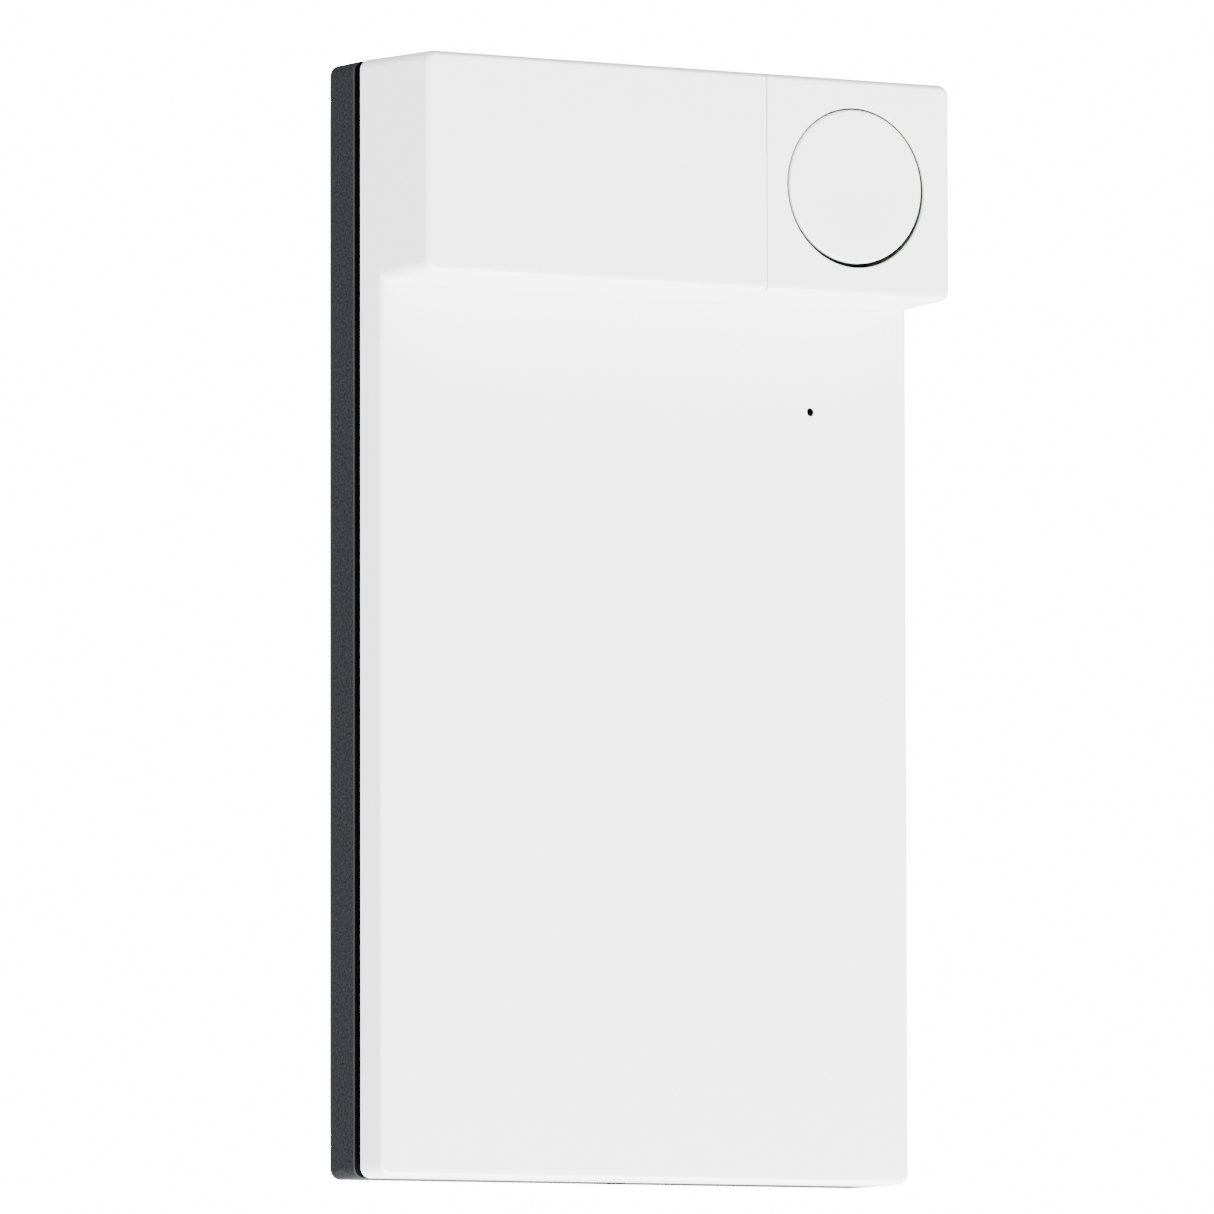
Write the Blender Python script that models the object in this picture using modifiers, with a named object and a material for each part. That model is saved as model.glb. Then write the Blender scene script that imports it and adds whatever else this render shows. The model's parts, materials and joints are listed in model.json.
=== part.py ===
"""Wall-mounted door station: white cover with a raised head and a round rocker call button,
on an anthracite rear housing that hangs on a wall plate.

Frame: the wall is the plane Y = 0, the front faces -Y, +X is to the right, +Z is up,
and the origin is the centre of the wall plate's back face. Lengths are in metres.
"""

import math

import bmesh
import bpy
from mathutils import Matrix, Vector

MM = 0.001
OBJECT_NAME = "door_station"

# Overall sizes of the housing and the cover
COVER_WIDTH = 100 * MM
COVER_HEIGHT = 180.6 * MM
PLATE_THICKNESS = 1.0 * MM
HOUSING_DEPTH = 7.85 * MM
SHADOW_GAP = 2.0 * MM
COVER_SIDE = 6.4 * MM
HEAD_STEP = 14.3 * MM
DRAFT = math.tan(math.radians(1.6))
CORNER_RADIUS = 1.8 * MM
FRONT_FILLET = 0.8 * MM
HEAD_FILLET = 0.95 * MM
WALL = 2.2 * MM
BLOCK_WALL = 2.0 * MM
GAP = 0.3 * MM

# Call button
BUTTON_RADIUS = 12.6 * MM
BLOCK_RIM = 5.4 * MM
BLOCK_TOP_EXTRA = 0.6 * MM
BUTTON_GAP = 0.52 * MM
BUTTON_DROP = 0.22 * MM
BUTTON_THICKNESS = 2.8 * MM
SEAM = 0.3 * MM
STEM_RADIUS = 2.0 * MM
STEM_HOLE_RADIUS = STEM_RADIUS + 1.2 * MM
STEM_HOLE_RISE = 0.2 * MM
PIN_RADIUS = 0.8 * MM
TONGUE_WIDTH = 6.0 * MM
EAR_WIDTH = 2.0 * MM
BLOCK_SCREW_REACH = 8.0 * MM

# Wall plate, openings and fasteners
PLATE_CORNER = 2 * MM
WALL_SCREW_HOLE = 2.2 * MM
WALL_SCREW_SIDE = 8 * MM
WALL_SCREW_END = 6 * MM
BOX_SCREW_SPACING = 60 * MM
PLATE_INSET = 0.7 * MM
PLATE_END_INSET = 6.5 * MM
CABLE_HOLE_RADIUS = 5.2 * MM
GROMMET_NECK_RADIUS = 8.0 * MM
MICROPHONE_HOLE_RADIUS = 0.7 * MM
SCREW_RADIUS = 1.25 * MM
SCREW_HEAD_RADIUS = 2.4 * MM
SCREW_HOLE_RADIUS = SCREW_RADIUS + GAP
BOSS_RADIUS = 3.0 * MM
SCREW_HEAD = 1.5 * MM
SOCKET_RADIUS = 1.1 * MM
SOCKET_DEPTH = 0.8 * MM

# Circuit board and what stands on it
BOARD_THICKNESS = 1.6 * MM
BOARD_STANDOFF = 2.4 * MM
SPEAKER_RADIUS = 20.2 * MM
TERMINAL_HEADROOM = 0.8 * MM
COIL_HEADROOM = 0.9 * MM
SWITCH_HEADROOM = 3.2 * MM
HEAD_PARTS_HEIGHT = 15.0 * MM

# Levels along Y, from the wall outwards
HALF_WIDTH = COVER_WIDTH / 2
HALF_HEIGHT = COVER_HEIGHT / 2
Y_HOUSING = -(PLATE_THICKNESS + GAP)
Y_FLOOR = Y_HOUSING - WALL
Y_RIM = Y_HOUSING - HOUSING_DEPTH
Y_COVER = Y_RIM - SHADOW_GAP
Y_MAIN = Y_COVER - COVER_SIDE
Y_MAIN_INSIDE = Y_MAIN + WALL
Y_HEAD = Y_MAIN - HEAD_STEP
Y_HEAD_INSIDE = Y_HEAD + WALL
Y_BLOCK_BACK = Y_MAIN - GAP
Y_BLOCK_INSIDE = Y_HEAD + BLOCK_WALL
Y_BOARD_BACK = Y_FLOOR - BOARD_STANDOFF - GAP
Y_BOARD = Y_BOARD_BACK - BOARD_THICKNESS
Y_PARTS = Y_BOARD - GAP
LOW_ROOM = Y_PARTS - Y_MAIN_INSIDE

# Places across the face
BLOCK_WIDTH = 2 * (BUTTON_RADIUS + BLOCK_RIM)
HEAD_HEIGHT = BLOCK_WIDTH + BLOCK_TOP_EXTRA
Z_ROOT = HALF_HEIGHT - HEAD_HEIGHT
X_SEAM = HALF_WIDTH - BLOCK_WIDTH + 0.3 * MM
BUTTON_X = HALF_WIDTH - BUTTON_RADIUS - BLOCK_RIM - 0.7 * MM
BUTTON_Z = Z_ROOT + BUTTON_RADIUS + BLOCK_RIM + 0.4 * MM
MICROPHONE_Z = Z_ROOT - 17.4 * MM
HINGE_Z = BUTTON_Z + BUTTON_RADIUS - 0.4 * MM
HINGE_Y = Y_HEAD + 4.8 * MM
BOSS_X = HALF_WIDTH - 7.5 * MM
BOSS_Z = HALF_HEIGHT - 8.0 * MM
BOARD_X = HALF_WIDTH - 6.0 * MM
BOARD_TOP = HALF_HEIGHT - 4.0 * MM
BOARD_BOTTOM = -HALF_HEIGHT + 56.0 * MM
SPEAKER_X = HALF_WIDTH - 30.0 * MM
SPEAKER_Z = -HALF_HEIGHT + 28.0 * MM
CABLE_X = -HALF_WIDTH + 15.0 * MM
CABLE_Z = -HALF_HEIGHT + 28.0 * MM
RING_INNER = BUTTON_RADIUS + BUTTON_GAP + 0.4 * MM
BLOCK_MIDDLE_X = (X_SEAM + HALF_WIDTH) / 2
BLOCK_MIDDLE_Z = HALF_HEIGHT - HEAD_HEIGHT / 2
BLOCK_BOSS_RADIUS = 2.4 * MM
BLOCK_BOSS_OUT = BLOCK_WIDTH / 2 - WALL - SCREW_HEAD_RADIUS - 0.4 * MM
BLOCK_SCREWS = [
    (BLOCK_MIDDLE_X - BLOCK_BOSS_OUT, BLOCK_MIDDLE_Z + BLOCK_BOSS_OUT),
    (BLOCK_MIDDLE_X + BLOCK_BOSS_OUT, BLOCK_MIDDLE_Z - BLOCK_BOSS_OUT),
]
BOSS_REACH = min(math.dist((BUTTON_X, BUTTON_Z), place) for place in BLOCK_SCREWS)
WALL_REACH = BUTTON_X - X_SEAM - SEAM / 2 - BLOCK_WALL
RING_OUTER = min(BOSS_REACH - BLOCK_BOSS_RADIUS, WALL_REACH) - GAP
RING_MIDDLE = (RING_INNER + RING_OUTER) / 2
LIGHT_WINDOWS = [
    (BUTTON_X + RING_MIDDLE * math.cos(math.radians(angle)),
     BUTTON_Z + RING_MIDDLE * math.sin(math.radians(angle)))
    for angle in (225, 315)
]

MATERIALS = {
    "white_plastic": ((0.80, 0.80, 0.81), 0.45, 0.0),
    "anthracite_plastic": ((0.055, 0.06, 0.068), 0.6, 0.0),
    "black_rubber": ((0.01, 0.01, 0.011), 0.8, 0.0),
    "light_guide": ((0.75, 0.85, 0.78), 0.3, 0.0),
    "circuit_board": ((0.02, 0.16, 0.07), 0.4, 0.0),
    "black_plastic": ((0.02, 0.02, 0.022), 0.5, 0.0),
    "plated_steel": ((0.6, 0.6, 0.62), 0.3, 1.0),
    "green_plastic": ((0.05, 0.3, 0.12), 0.5, 0.0),
    "paper_cone": ((0.05, 0.05, 0.05), 0.9, 0.0),
}


def start_scene():
    for thing in list(bpy.data.objects):
        bpy.data.objects.remove(thing, do_unlink=True)
    made = {}
    for name in (OBJECT_NAME, "cutters"):
        made[name] = bpy.data.collections.new(name)
        bpy.context.scene.collection.children.link(made[name])
    return made


COLLECTIONS = start_scene()


def material(name):
    if name in bpy.data.materials:
        return bpy.data.materials[name]
    colour, roughness, metallic = MATERIALS[name]
    made = bpy.data.materials.new(name)
    made.use_nodes = True
    shader = made.node_tree.nodes["Principled BSDF"]
    shader.inputs["Base Color"].default_value = (*colour, 1.0)
    shader.inputs["Roughness"].default_value = roughness
    shader.inputs["Metallic"].default_value = metallic
    return made


def link(name, mesh, finish):
    """An object of the assembly, or of the cutters where it has no finish."""
    thing = bpy.data.objects.new(name, mesh)
    COLLECTIONS[OBJECT_NAME if finish else "cutters"].objects.link(thing)
    if finish:
        mesh.materials.append(material(finish))
    else:
        thing.hide_render = True
        thing.display_type = "WIRE"
    return thing


def mesh_of(shape, name):
    mesh = bpy.data.meshes.new(name)
    bmesh.ops.recalc_face_normals(shape, faces=shape.faces)
    shape.to_mesh(mesh)
    shape.free()
    return mesh


def across(edge, axis):
    """Whether an edge runs mostly along an axis, 0 to 2."""
    run = edge.verts[1].co - edge.verts[0].co
    return abs(run[axis]) > 0.9 * run.length


def box(name, low, high, finish=None, corner=0.0, corner_steps=3, axis=1):
    """A box between two corners, its four edges along an axis rounded by corner."""
    shape = bmesh.new()
    bmesh.ops.create_cube(shape, size=1.0)
    size = Vector(high) - Vector(low)
    middle = (Vector(high) + Vector(low)) / 2
    bmesh.ops.transform(shape, matrix=Matrix.Diagonal((*size, 1)), verts=shape.verts)
    if corner:
        edges = [edge for edge in shape.edges if across(edge, axis)]
        bmesh.ops.bevel(
            shape, geom=edges, offset=corner, segments=corner_steps, profile=0.5, affect="EDGES"
        )
    thing = link(name, mesh_of(shape, name), finish)
    thing.location = middle
    return thing


def cylinder(name, centre, radius, y_back, y_front, finish=None, steps=20, axis=1):
    """A cylinder along Y between two levels, or along Z or X where axis says so."""
    shape = bmesh.new()
    length = abs(y_back - y_front)
    bmesh.ops.create_cone(
        shape, cap_ends=True, segments=steps, radius1=radius, radius2=radius, depth=length
    )
    turn = {0: Matrix.Rotation(math.pi / 2, 3, "Y"), 1: Matrix.Rotation(math.pi / 2, 3, "X")}
    if axis in turn:
        bmesh.ops.rotate(shape, verts=shape.verts, matrix=turn[axis])
    thing = link(name, mesh_of(shape, name), finish)
    middle = [centre[0], centre[1]]
    middle.insert(axis, (y_back + y_front) / 2)
    thing.location = middle
    return thing


def turned(name, x, z, profile, finish, steps=32):
    """A ring or cap turned about a line along Y; the profile is radius and Y, a closed loop."""
    shape = bmesh.new()
    points = [shape.verts.new((radius, 0.0, -y)) for radius, y in profile]
    on_axis = [point for point in points if point.co.x == 0.0]
    pairs = list(zip(points, points[1:]))
    if not on_axis:
        pairs.append((points[-1], points[0]))
    for first, second in pairs:
        shape.edges.new((first, second))
    mesh = bpy.data.meshes.new(name)
    shape.to_mesh(mesh)
    shape.free()
    thing = link(name, mesh, finish)
    thing.location = (x, 0.0, z)
    thing.rotation_euler = (math.pi / 2, 0.0, 0.0)
    screw = thing.modifiers.new("turn", "SCREW")
    screw.axis = "Z"
    screw.steps = screw.render_steps = steps
    screw.use_merge_vertices = True
    screw.merge_threshold = 0.00001
    return thing


def combine(target, tool, operation):
    """A cut with, or a union with, a tool that is kept among the cutters."""
    change = target.modifiers.new(operation.lower(), "BOOLEAN")
    change.operation = operation
    change.solver = "EXACT"
    change.object = tool
    return target


def cut(target, *tools):
    for tool in tools:
        combine(target, tool, "DIFFERENCE")
    return target


def join(target, *tools):
    for tool in tools:
        combine(target, tool, "UNION")
    return target


def moulded_block(name, rear, front, y_rear, y_front, fillets, finish=None, rounded=()):
    """A block that tapers from its rear rectangle to its front one, both (x0, x1, z0, z1).

    rounded names the corners with the outline's radius, such as (-1, 1) for left and top;
    fillets gives each side of the front face its fillet, by the side's direction.
    """
    shape = bmesh.new()
    bmesh.ops.create_cube(shape, size=2.0)
    corners = {}
    for point in shape.verts:
        x, y, z = point.co
        x0, x1, z0, z1 = front if y < 0 else rear
        corners[point] = (x, z)
        point.co = (x1 if x > 0 else x0, y_front if y < 0 else y_rear, z1 if z > 0 else z0)
    outline = [
        edge
        for edge in shape.edges
        if corners[edge.verts[0]] == corners[edge.verts[1]] and corners[edge.verts[0]] in rounded
    ]
    if outline:
        bmesh.ops.bevel(
            shape, geom=outline, offset=CORNER_RADIUS, segments=6, profile=0.5, affect="EDGES"
        )
    shape.faces.ensure_lookup_table()
    bmesh.ops.recalc_face_normals(shape, faces=shape.faces)
    face = next(f for f in shape.faces if f.normal.y < -0.99 and len(f.verts) > 3)
    middle = face.calc_center_median()
    for fillet in sorted(set(fillets.values())):
        edges = []
        for edge in shape.edges:
            if not all(abs(point.co.y - y_front) < 1e-7 for point in edge.verts):
                continue
            away = (edge.verts[0].co + edge.verts[1].co) / 2 - middle
            wide = abs(away.x) / (front[1] - front[0]) > abs(away.z) / (front[3] - front[2])
            side = ("right" if away.x > 0 else "left") if wide else ("top" if away.z > 0 else "bottom")
            if fillets.get(side) == fillet:
                edges.append(edge)
        if fillet and edges:
            bmesh.ops.bevel(
                shape, geom=edges, offset=fillet, segments=3, profile=0.5, affect="EDGES"
            )
    return link(name, mesh_of(shape, name), finish)


def inset_at(y):
    """How far the cover's sides have drawn in at a level, from its rear edge."""
    return (Y_COVER - y) * DRAFT


def screw(name, x, z, y_head, y_tip, finish="plated_steel"):
    """A pan-head screw along Y with a hexagon socket; y_head is the seat under the head."""
    outwards = 1 if y_tip < y_head else -1
    y_top = y_head + outwards * SCREW_HEAD
    made = cylinder(name, (x, z), SCREW_HEAD_RADIUS, y_head, y_top, finish, 16)
    y_neck = y_head + outwards * SCREW_HEAD / 2
    shank = cylinder(name + "_shank", (x, z), SCREW_RADIUS, y_neck, y_tip, None, 12)
    socket = cylinder(name + "_socket", (x, z), SOCKET_RADIUS, y_top + outwards * MM,
                      y_top - outwards * SOCKET_DEPTH, None, 6)
    for tool in (shank, socket):
        tool.parent = made
        tool.matrix_parent_inverse = Matrix.Translation(made.location).inverted()
    join(made, shank)
    return cut(made, socket)


# ---------------------------------------------------------------- wall plate and housing

HOOKS = [
    (side * (HALF_WIDTH - 18 * MM), z)
    for side in (-1, 1)
    for z in (HALF_HEIGHT - 24 * MM, BOARD_BOTTOM + 22 * MM)
]
HOOK_HALF = 4.0 * MM
HOOK_METAL = 1.2 * MM
HOOK_LIP = 3.5 * MM
LOCK_TAB_Z = -HALF_HEIGHT + 7.5 * MM
LOCK_TAB_HALF = 5.0 * MM
LOCK_SCREW_TIP = LOCK_TAB_Z + 3 * MM
LOCK_Y = Y_HOUSING - HOUSING_DEPTH / 2


def wall_plate():
    """Folded plate with four upward hooks and a tab for the locking screw."""
    half_x = HALF_WIDTH - PLATE_INSET
    half_z = HALF_HEIGHT - PLATE_END_INSET
    plate = box(
        "wall_plate", (-half_x, -PLATE_THICKNESS, -half_z), (half_x, 0, half_z),
        "anthracite_plastic", PLATE_CORNER,
    )
    y_lip = Y_FLOOR - GAP
    for number, (x, z) in enumerate(HOOKS):
        stem = box(f"hook_stem_{number}", (x - HOOK_HALF, y_lip - HOOK_METAL, z),
                   (x + HOOK_HALF, -PLATE_THICKNESS / 2, z + HOOK_METAL))
        lip = box(f"hook_lip_{number}", (x - HOOK_HALF, y_lip - HOOK_METAL, z + HOOK_METAL / 2),
                  (x + HOOK_HALF, y_lip, z + HOOK_LIP))
        join(plate, stem, lip)
    tab = box("lock_tab", (-LOCK_TAB_HALF, Y_RIM + MM, LOCK_TAB_Z),
              (LOCK_TAB_HALF, -PLATE_THICKNESS / 2, LOCK_TAB_Z + HOOK_METAL))
    join(plate, tab)
    cut(plate, cylinder("lock_tab_hole", (0, LOCK_Y), SCREW_HOLE_RADIUS,
                        LOCK_TAB_Z - MM, LOCK_TAB_Z + 2 * HOOK_METAL, axis=2))
    y_under = -2 * PLATE_THICKNESS
    cut(plate, cylinder("plate_cable_hole", (CABLE_X, CABLE_Z), GROMMET_NECK_RADIUS + 2 * MM, MM, y_under))
    slot_x, slot_z = 4 * MM, 2 * MM
    for side in (-1, 1):
        x = side * BOX_SCREW_SPACING / 2
        cut(plate, box(f"box_slot_{side}", (x - slot_x, y_under, -slot_z), (x + slot_x, MM, slot_z),
                       corner=0.9 * slot_z))
    for side, end in ((-1, -1), (-1, 1), (1, -1), (1, 1)):
        place = (side * (half_x - WALL_SCREW_SIDE), end * (half_z - WALL_SCREW_END))
        cut(plate, cylinder(f"wall_screw_hole_{side}_{end}", place, WALL_SCREW_HOLE, MM, y_under, steps=16))
    return plate


BOSSES = [(side * BOSS_X, end * BOSS_Z) for side in (-1, 1) for end in (-1, 1)]
STANDOFFS = [
    (side * (HALF_WIDTH - 12 * MM), z)
    for side in (-1, 1)
    for z in (BOARD_BOTTOM + 6 * MM, Z_ROOT - 2 * MM)
]
SPEAKER_LUGS = [
    (SPEAKER_X + side * (SPEAKER_RADIUS + 2 * MM) / math.sqrt(2),
     SPEAKER_Z + side * (SPEAKER_RADIUS + 2 * MM) / math.sqrt(2))
    for side in (-1, 1)
]
SPEAKER_LUG_RADIUS = 3.0 * MM
Y_SPEAKER_SEAT = Y_FLOOR - 4.3 * MM
Y_SPEAKER_POST = Y_SPEAKER_SEAT + 0.1 * MM
Y_SPEAKER_BACK = Y_SPEAKER_SEAT - GAP
Y_SPEAKER_FRONT = Y_SPEAKER_BACK - 1.0 * MM
SOUND_SLOTS = 9
SOUND_SLOT_PITCH = 3.0 * MM
SOUND_SLOT_WIDTH = 1.4 * MM
SCREW_SEAT_DEPTH = 1.9 * MM
Y_BOSS_SEAT = Y_FLOOR - 2.3 * MM


def rear_housing():
    """Shallow moulded tray with standoffs, a speaker seat and sound slots in its lower wall."""
    outside = (-HALF_WIDTH, HALF_WIDTH, -HALF_HEIGHT, HALF_HEIGHT)
    tray = moulded_block(
        "rear_housing", outside, outside, Y_HOUSING, Y_RIM,
        {side: 0.3 * MM for side in ("left", "right", "top", "bottom")},
        "anthracite_plastic", ((-1, -1), (-1, 1), (1, -1), (1, 1)),
    )
    inner_x = HALF_WIDTH - WALL
    inner_z = HALF_HEIGHT - WALL
    cut(tray, box("tray_hollow", (-inner_x, Y_RIM - 5 * MM, -inner_z), (inner_x, Y_FLOOR, inner_z)))
    for number, (x, z) in enumerate(BOSSES):
        join(tray, cylinder(f"seat_{number}", (x, z), BOSS_RADIUS + MM, Y_FLOOR + MM, Y_BOSS_SEAT))
    for number, (x, z) in enumerate(STANDOFFS):
        join(tray, cylinder(f"standoff_{number}", (x, z), 2.8 * MM, Y_FLOOR + MM, Y_BOARD_BACK + GAP))
    rib = turned("speaker_seat", SPEAKER_X, SPEAKER_Z, [
        (SPEAKER_RADIUS - 0.6 * MM, Y_SPEAKER_SEAT), (SPEAKER_RADIUS - 0.6 * MM, Y_FLOOR + MM),
        (SPEAKER_RADIUS - 2.4 * MM, Y_FLOOR + MM), (SPEAKER_RADIUS - 2.4 * MM, Y_SPEAKER_SEAT),
    ], None, 36)
    join(tray, rib)
    for number, (x, z) in enumerate(SPEAKER_LUGS):
        join(tray, cylinder(f"speaker_post_{number}", (x, z), SPEAKER_LUG_RADIUS, Y_FLOOR + WALL / 2,
                            Y_SPEAKER_POST))
    for number, (x, z) in enumerate(BOSSES):
        cut(tray, cylinder(f"case_screw_hole_{number}", (x, z), SCREW_HOLE_RADIUS, MM, Y_BOARD))
        cut(tray, cylinder(f"case_screw_seat_{number}", (x, z), SCREW_HEAD_RADIUS + GAP, MM,
                           Y_HOUSING - SCREW_SEAT_DEPTH))
    for number, (x, z) in enumerate(STANDOFFS + SPEAKER_LUGS):
        cut(tray, cylinder(f"tray_screw_hole_{number}", (x, z), SCREW_HOLE_RADIUS, Y_FLOOR + MM, Y_BOARD,
                           steps=12))
    cut(tray, cylinder("tray_cable_hole", (CABLE_X, CABLE_Z), GROMMET_NECK_RADIUS + GAP, MM, Y_FLOOR - MM,
                       steps=28))
    for number, (x, z) in enumerate(HOOKS):
        cut(tray, box(f"hook_slot_{number}", (x - HOOK_HALF - 0.5 * MM, Y_FLOOR - MM, z - 4.5 * MM),
                      (x + HOOK_HALF + 0.5 * MM, MM, z + 2 * MM)))
    cut(tray, box("lock_tab_slot", (-LOCK_TAB_HALF - GAP, Y_FLOOR - MM, LOCK_TAB_Z - GAP),
                  (LOCK_TAB_HALF + GAP, MM, LOCK_TAB_Z + HOOK_METAL + 4 * MM)))
    low = -HALF_HEIGHT
    cut(tray, cylinder("lock_screw_hole", (0, LOCK_Y), SCREW_HOLE_RADIUS, low - MM, LOCK_SCREW_TIP + MM,
                       axis=2, steps=16))
    cut(tray, cylinder("lock_screw_seat", (0, LOCK_Y), SCREW_HEAD_RADIUS + GAP, low - MM, low + 1.2 * MM,
                       axis=2))
    first = SPEAKER_X - SOUND_SLOT_PITCH * (SOUND_SLOTS - 1) / 2
    for number in range(SOUND_SLOTS):
        x = first + number * SOUND_SLOT_PITCH
        cut(tray, box(f"sound_slot_{number}", (x - SOUND_SLOT_WIDTH / 2, Y_RIM + 1.2 * MM, low - MM),
                      (x + SOUND_SLOT_WIDTH / 2, Y_FLOOR - 0.6 * MM, low + WALL + MM)))
    return tray


def lock_screw():
    """Hexagon-socket screw that goes up through the housing's lower wall into the plate's tab."""
    low, head, socket_depth = -HALF_HEIGHT + 0.2 * MM, 0.7 * MM, 0.4 * MM
    made = cylinder("lock_screw", (0, LOCK_Y), SCREW_HEAD_RADIUS, low, low + head, "plated_steel", 16, axis=2)
    shank = cylinder("lock_screw_shank", (0, LOCK_Y), SCREW_RADIUS, low + socket_depth, LOCK_SCREW_TIP,
                     None, 12, axis=2)
    socket = cylinder("lock_screw_socket", (0, LOCK_Y), SOCKET_RADIUS, low - MM, low + socket_depth,
                      None, 6, axis=2)
    return cut(join(made, shank), socket)


def housing_seal():
    """Rubber ring in the shadow gap between the housing's rim and the cover."""
    outer_x, outer_z = HALF_WIDTH - 1.2 * MM, HALF_HEIGHT - 1.2 * MM
    inner_x, inner_z = HALF_WIDTH - 3.4 * MM, HALF_HEIGHT - 3.4 * MM
    ring = box("housing_seal", (-outer_x, Y_COVER + GAP, -outer_z), (outer_x, Y_RIM - GAP, outer_z),
               "black_rubber", 1.2 * MM)
    return cut(ring, box("seal_hollow", (-inner_x, Y_COVER - MM, -inner_z), (inner_x, Y_RIM + MM, inner_z)))


def cable_grommet():
    y_flange = Y_FLOOR - GAP
    neck, hole = GROMMET_NECK_RADIUS, CABLE_HOLE_RADIUS
    return turned("cable_grommet", CABLE_X, CABLE_Z, [
        (hole, y_flange - 1.2 * MM), (neck + 2 * MM, y_flange - 1.2 * MM), (neck + 2 * MM, y_flange),
        (neck, y_flange), (neck, Y_HOUSING), (hole, Y_HOUSING),
    ], "black_rubber")


def case_screws():
    for number, (x, z) in enumerate(BOSSES):
        screw(f"case_screw_{number + 1}", x, z, Y_HOUSING - 1.7 * MM, Y_MAIN_INSIDE + 1.5 * MM)


# ---------------------------------------------------------------- cover, block and button


def front_cover():
    """White shell: a flat main panel with the left part of the head standing out of it."""
    rear = (-HALF_WIDTH, HALF_WIDTH, -HALF_HEIGHT, HALF_HEIGHT)
    draw = inset_at(Y_MAIN)
    face = (-HALF_WIDTH + draw, HALF_WIDTH - draw, -HALF_HEIGHT + draw, HALF_HEIGHT - draw)
    shell = moulded_block(
        "front_cover", rear, face, Y_COVER, Y_MAIN,
        {side: FRONT_FILLET for side in ("left", "right", "top", "bottom")},
        "white_plastic", ((-1, -1), (-1, 1), (1, -1), (1, 1)),
    )
    sunk = Y_COVER - 2 * MM
    step = 0.02 * MM
    x_right = X_SEAM - SEAM / 2

    def section(y):
        draw_here = inset_at(y) + step
        z_under = Z_ROOT + (Y_MAIN - y) * DRAFT
        return (-HALF_WIDTH + draw_here, x_right, z_under, HALF_HEIGHT - draw_here)

    head = moulded_block(
        "head_left", section(sunk), section(Y_HEAD), sunk, Y_HEAD,
        {"left": HEAD_FILLET, "top": HEAD_FILLET, "bottom": HEAD_FILLET, "right": 0.2 * MM},
        None, ((-1, -1), (-1, 1)),
    )
    join(shell, head)
    inner_x, inner_z = HALF_WIDTH - WALL, HALF_HEIGHT - WALL
    cut(shell, box("cover_hollow", (-inner_x, Y_MAIN_INSIDE, -inner_z), (inner_x, Y_COVER + 5 * MM, inner_z)))
    deep = inset_at(Y_HEAD)
    head_low = Z_ROOT + WALL + HEAD_STEP * DRAFT
    cut(shell, box("head_hollow", (-inner_x + deep, Y_HEAD_INSIDE, head_low),
                   (x_right - WALL, Y_MAIN_INSIDE + MM, inner_z - deep)))
    for number, (x, z) in enumerate(BOSSES):
        in_head = x < 0 and z > 0
        y_end = (Y_HEAD_INSIDE if in_head else Y_MAIN_INSIDE) - 0.8 * MM
        join(shell, cylinder(f"cover_boss_{number}", (x, z), BOSS_RADIUS, Y_BOSS_SEAT - GAP, y_end))
        cut(shell, cylinder(f"cover_boss_hole_{number}", (x, z), SCREW_HOLE_RADIUS, Y_FLOOR,
                            Y_MAIN_INSIDE + 0.5 * MM, steps=12))
    cut(shell, cylinder("microphone_hole", (BUTTON_X, MICROPHONE_Z), MICROPHONE_HOLE_RADIUS,
                        Y_COVER, Y_HEAD, steps=16))
    cut(shell, cylinder("stem_hole", (BUTTON_X, BUTTON_Z + STEM_HOLE_RISE), STEM_HOLE_RADIUS,
                        Y_COVER, Y_HEAD))
    for number, (x, z) in enumerate(LIGHT_WINDOWS):
        cut(shell, cylinder(f"light_window_{number}", (x, z), 2 * MM, Y_COVER, Y_HEAD, steps=16))
    for number, (x, z) in enumerate(BLOCK_SCREWS):
        cut(shell, cylinder(f"block_screw_hole_{number}", (x, z), SCREW_HOLE_RADIUS, Y_COVER, Y_HEAD,
                            steps=12))
    return shell


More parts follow.
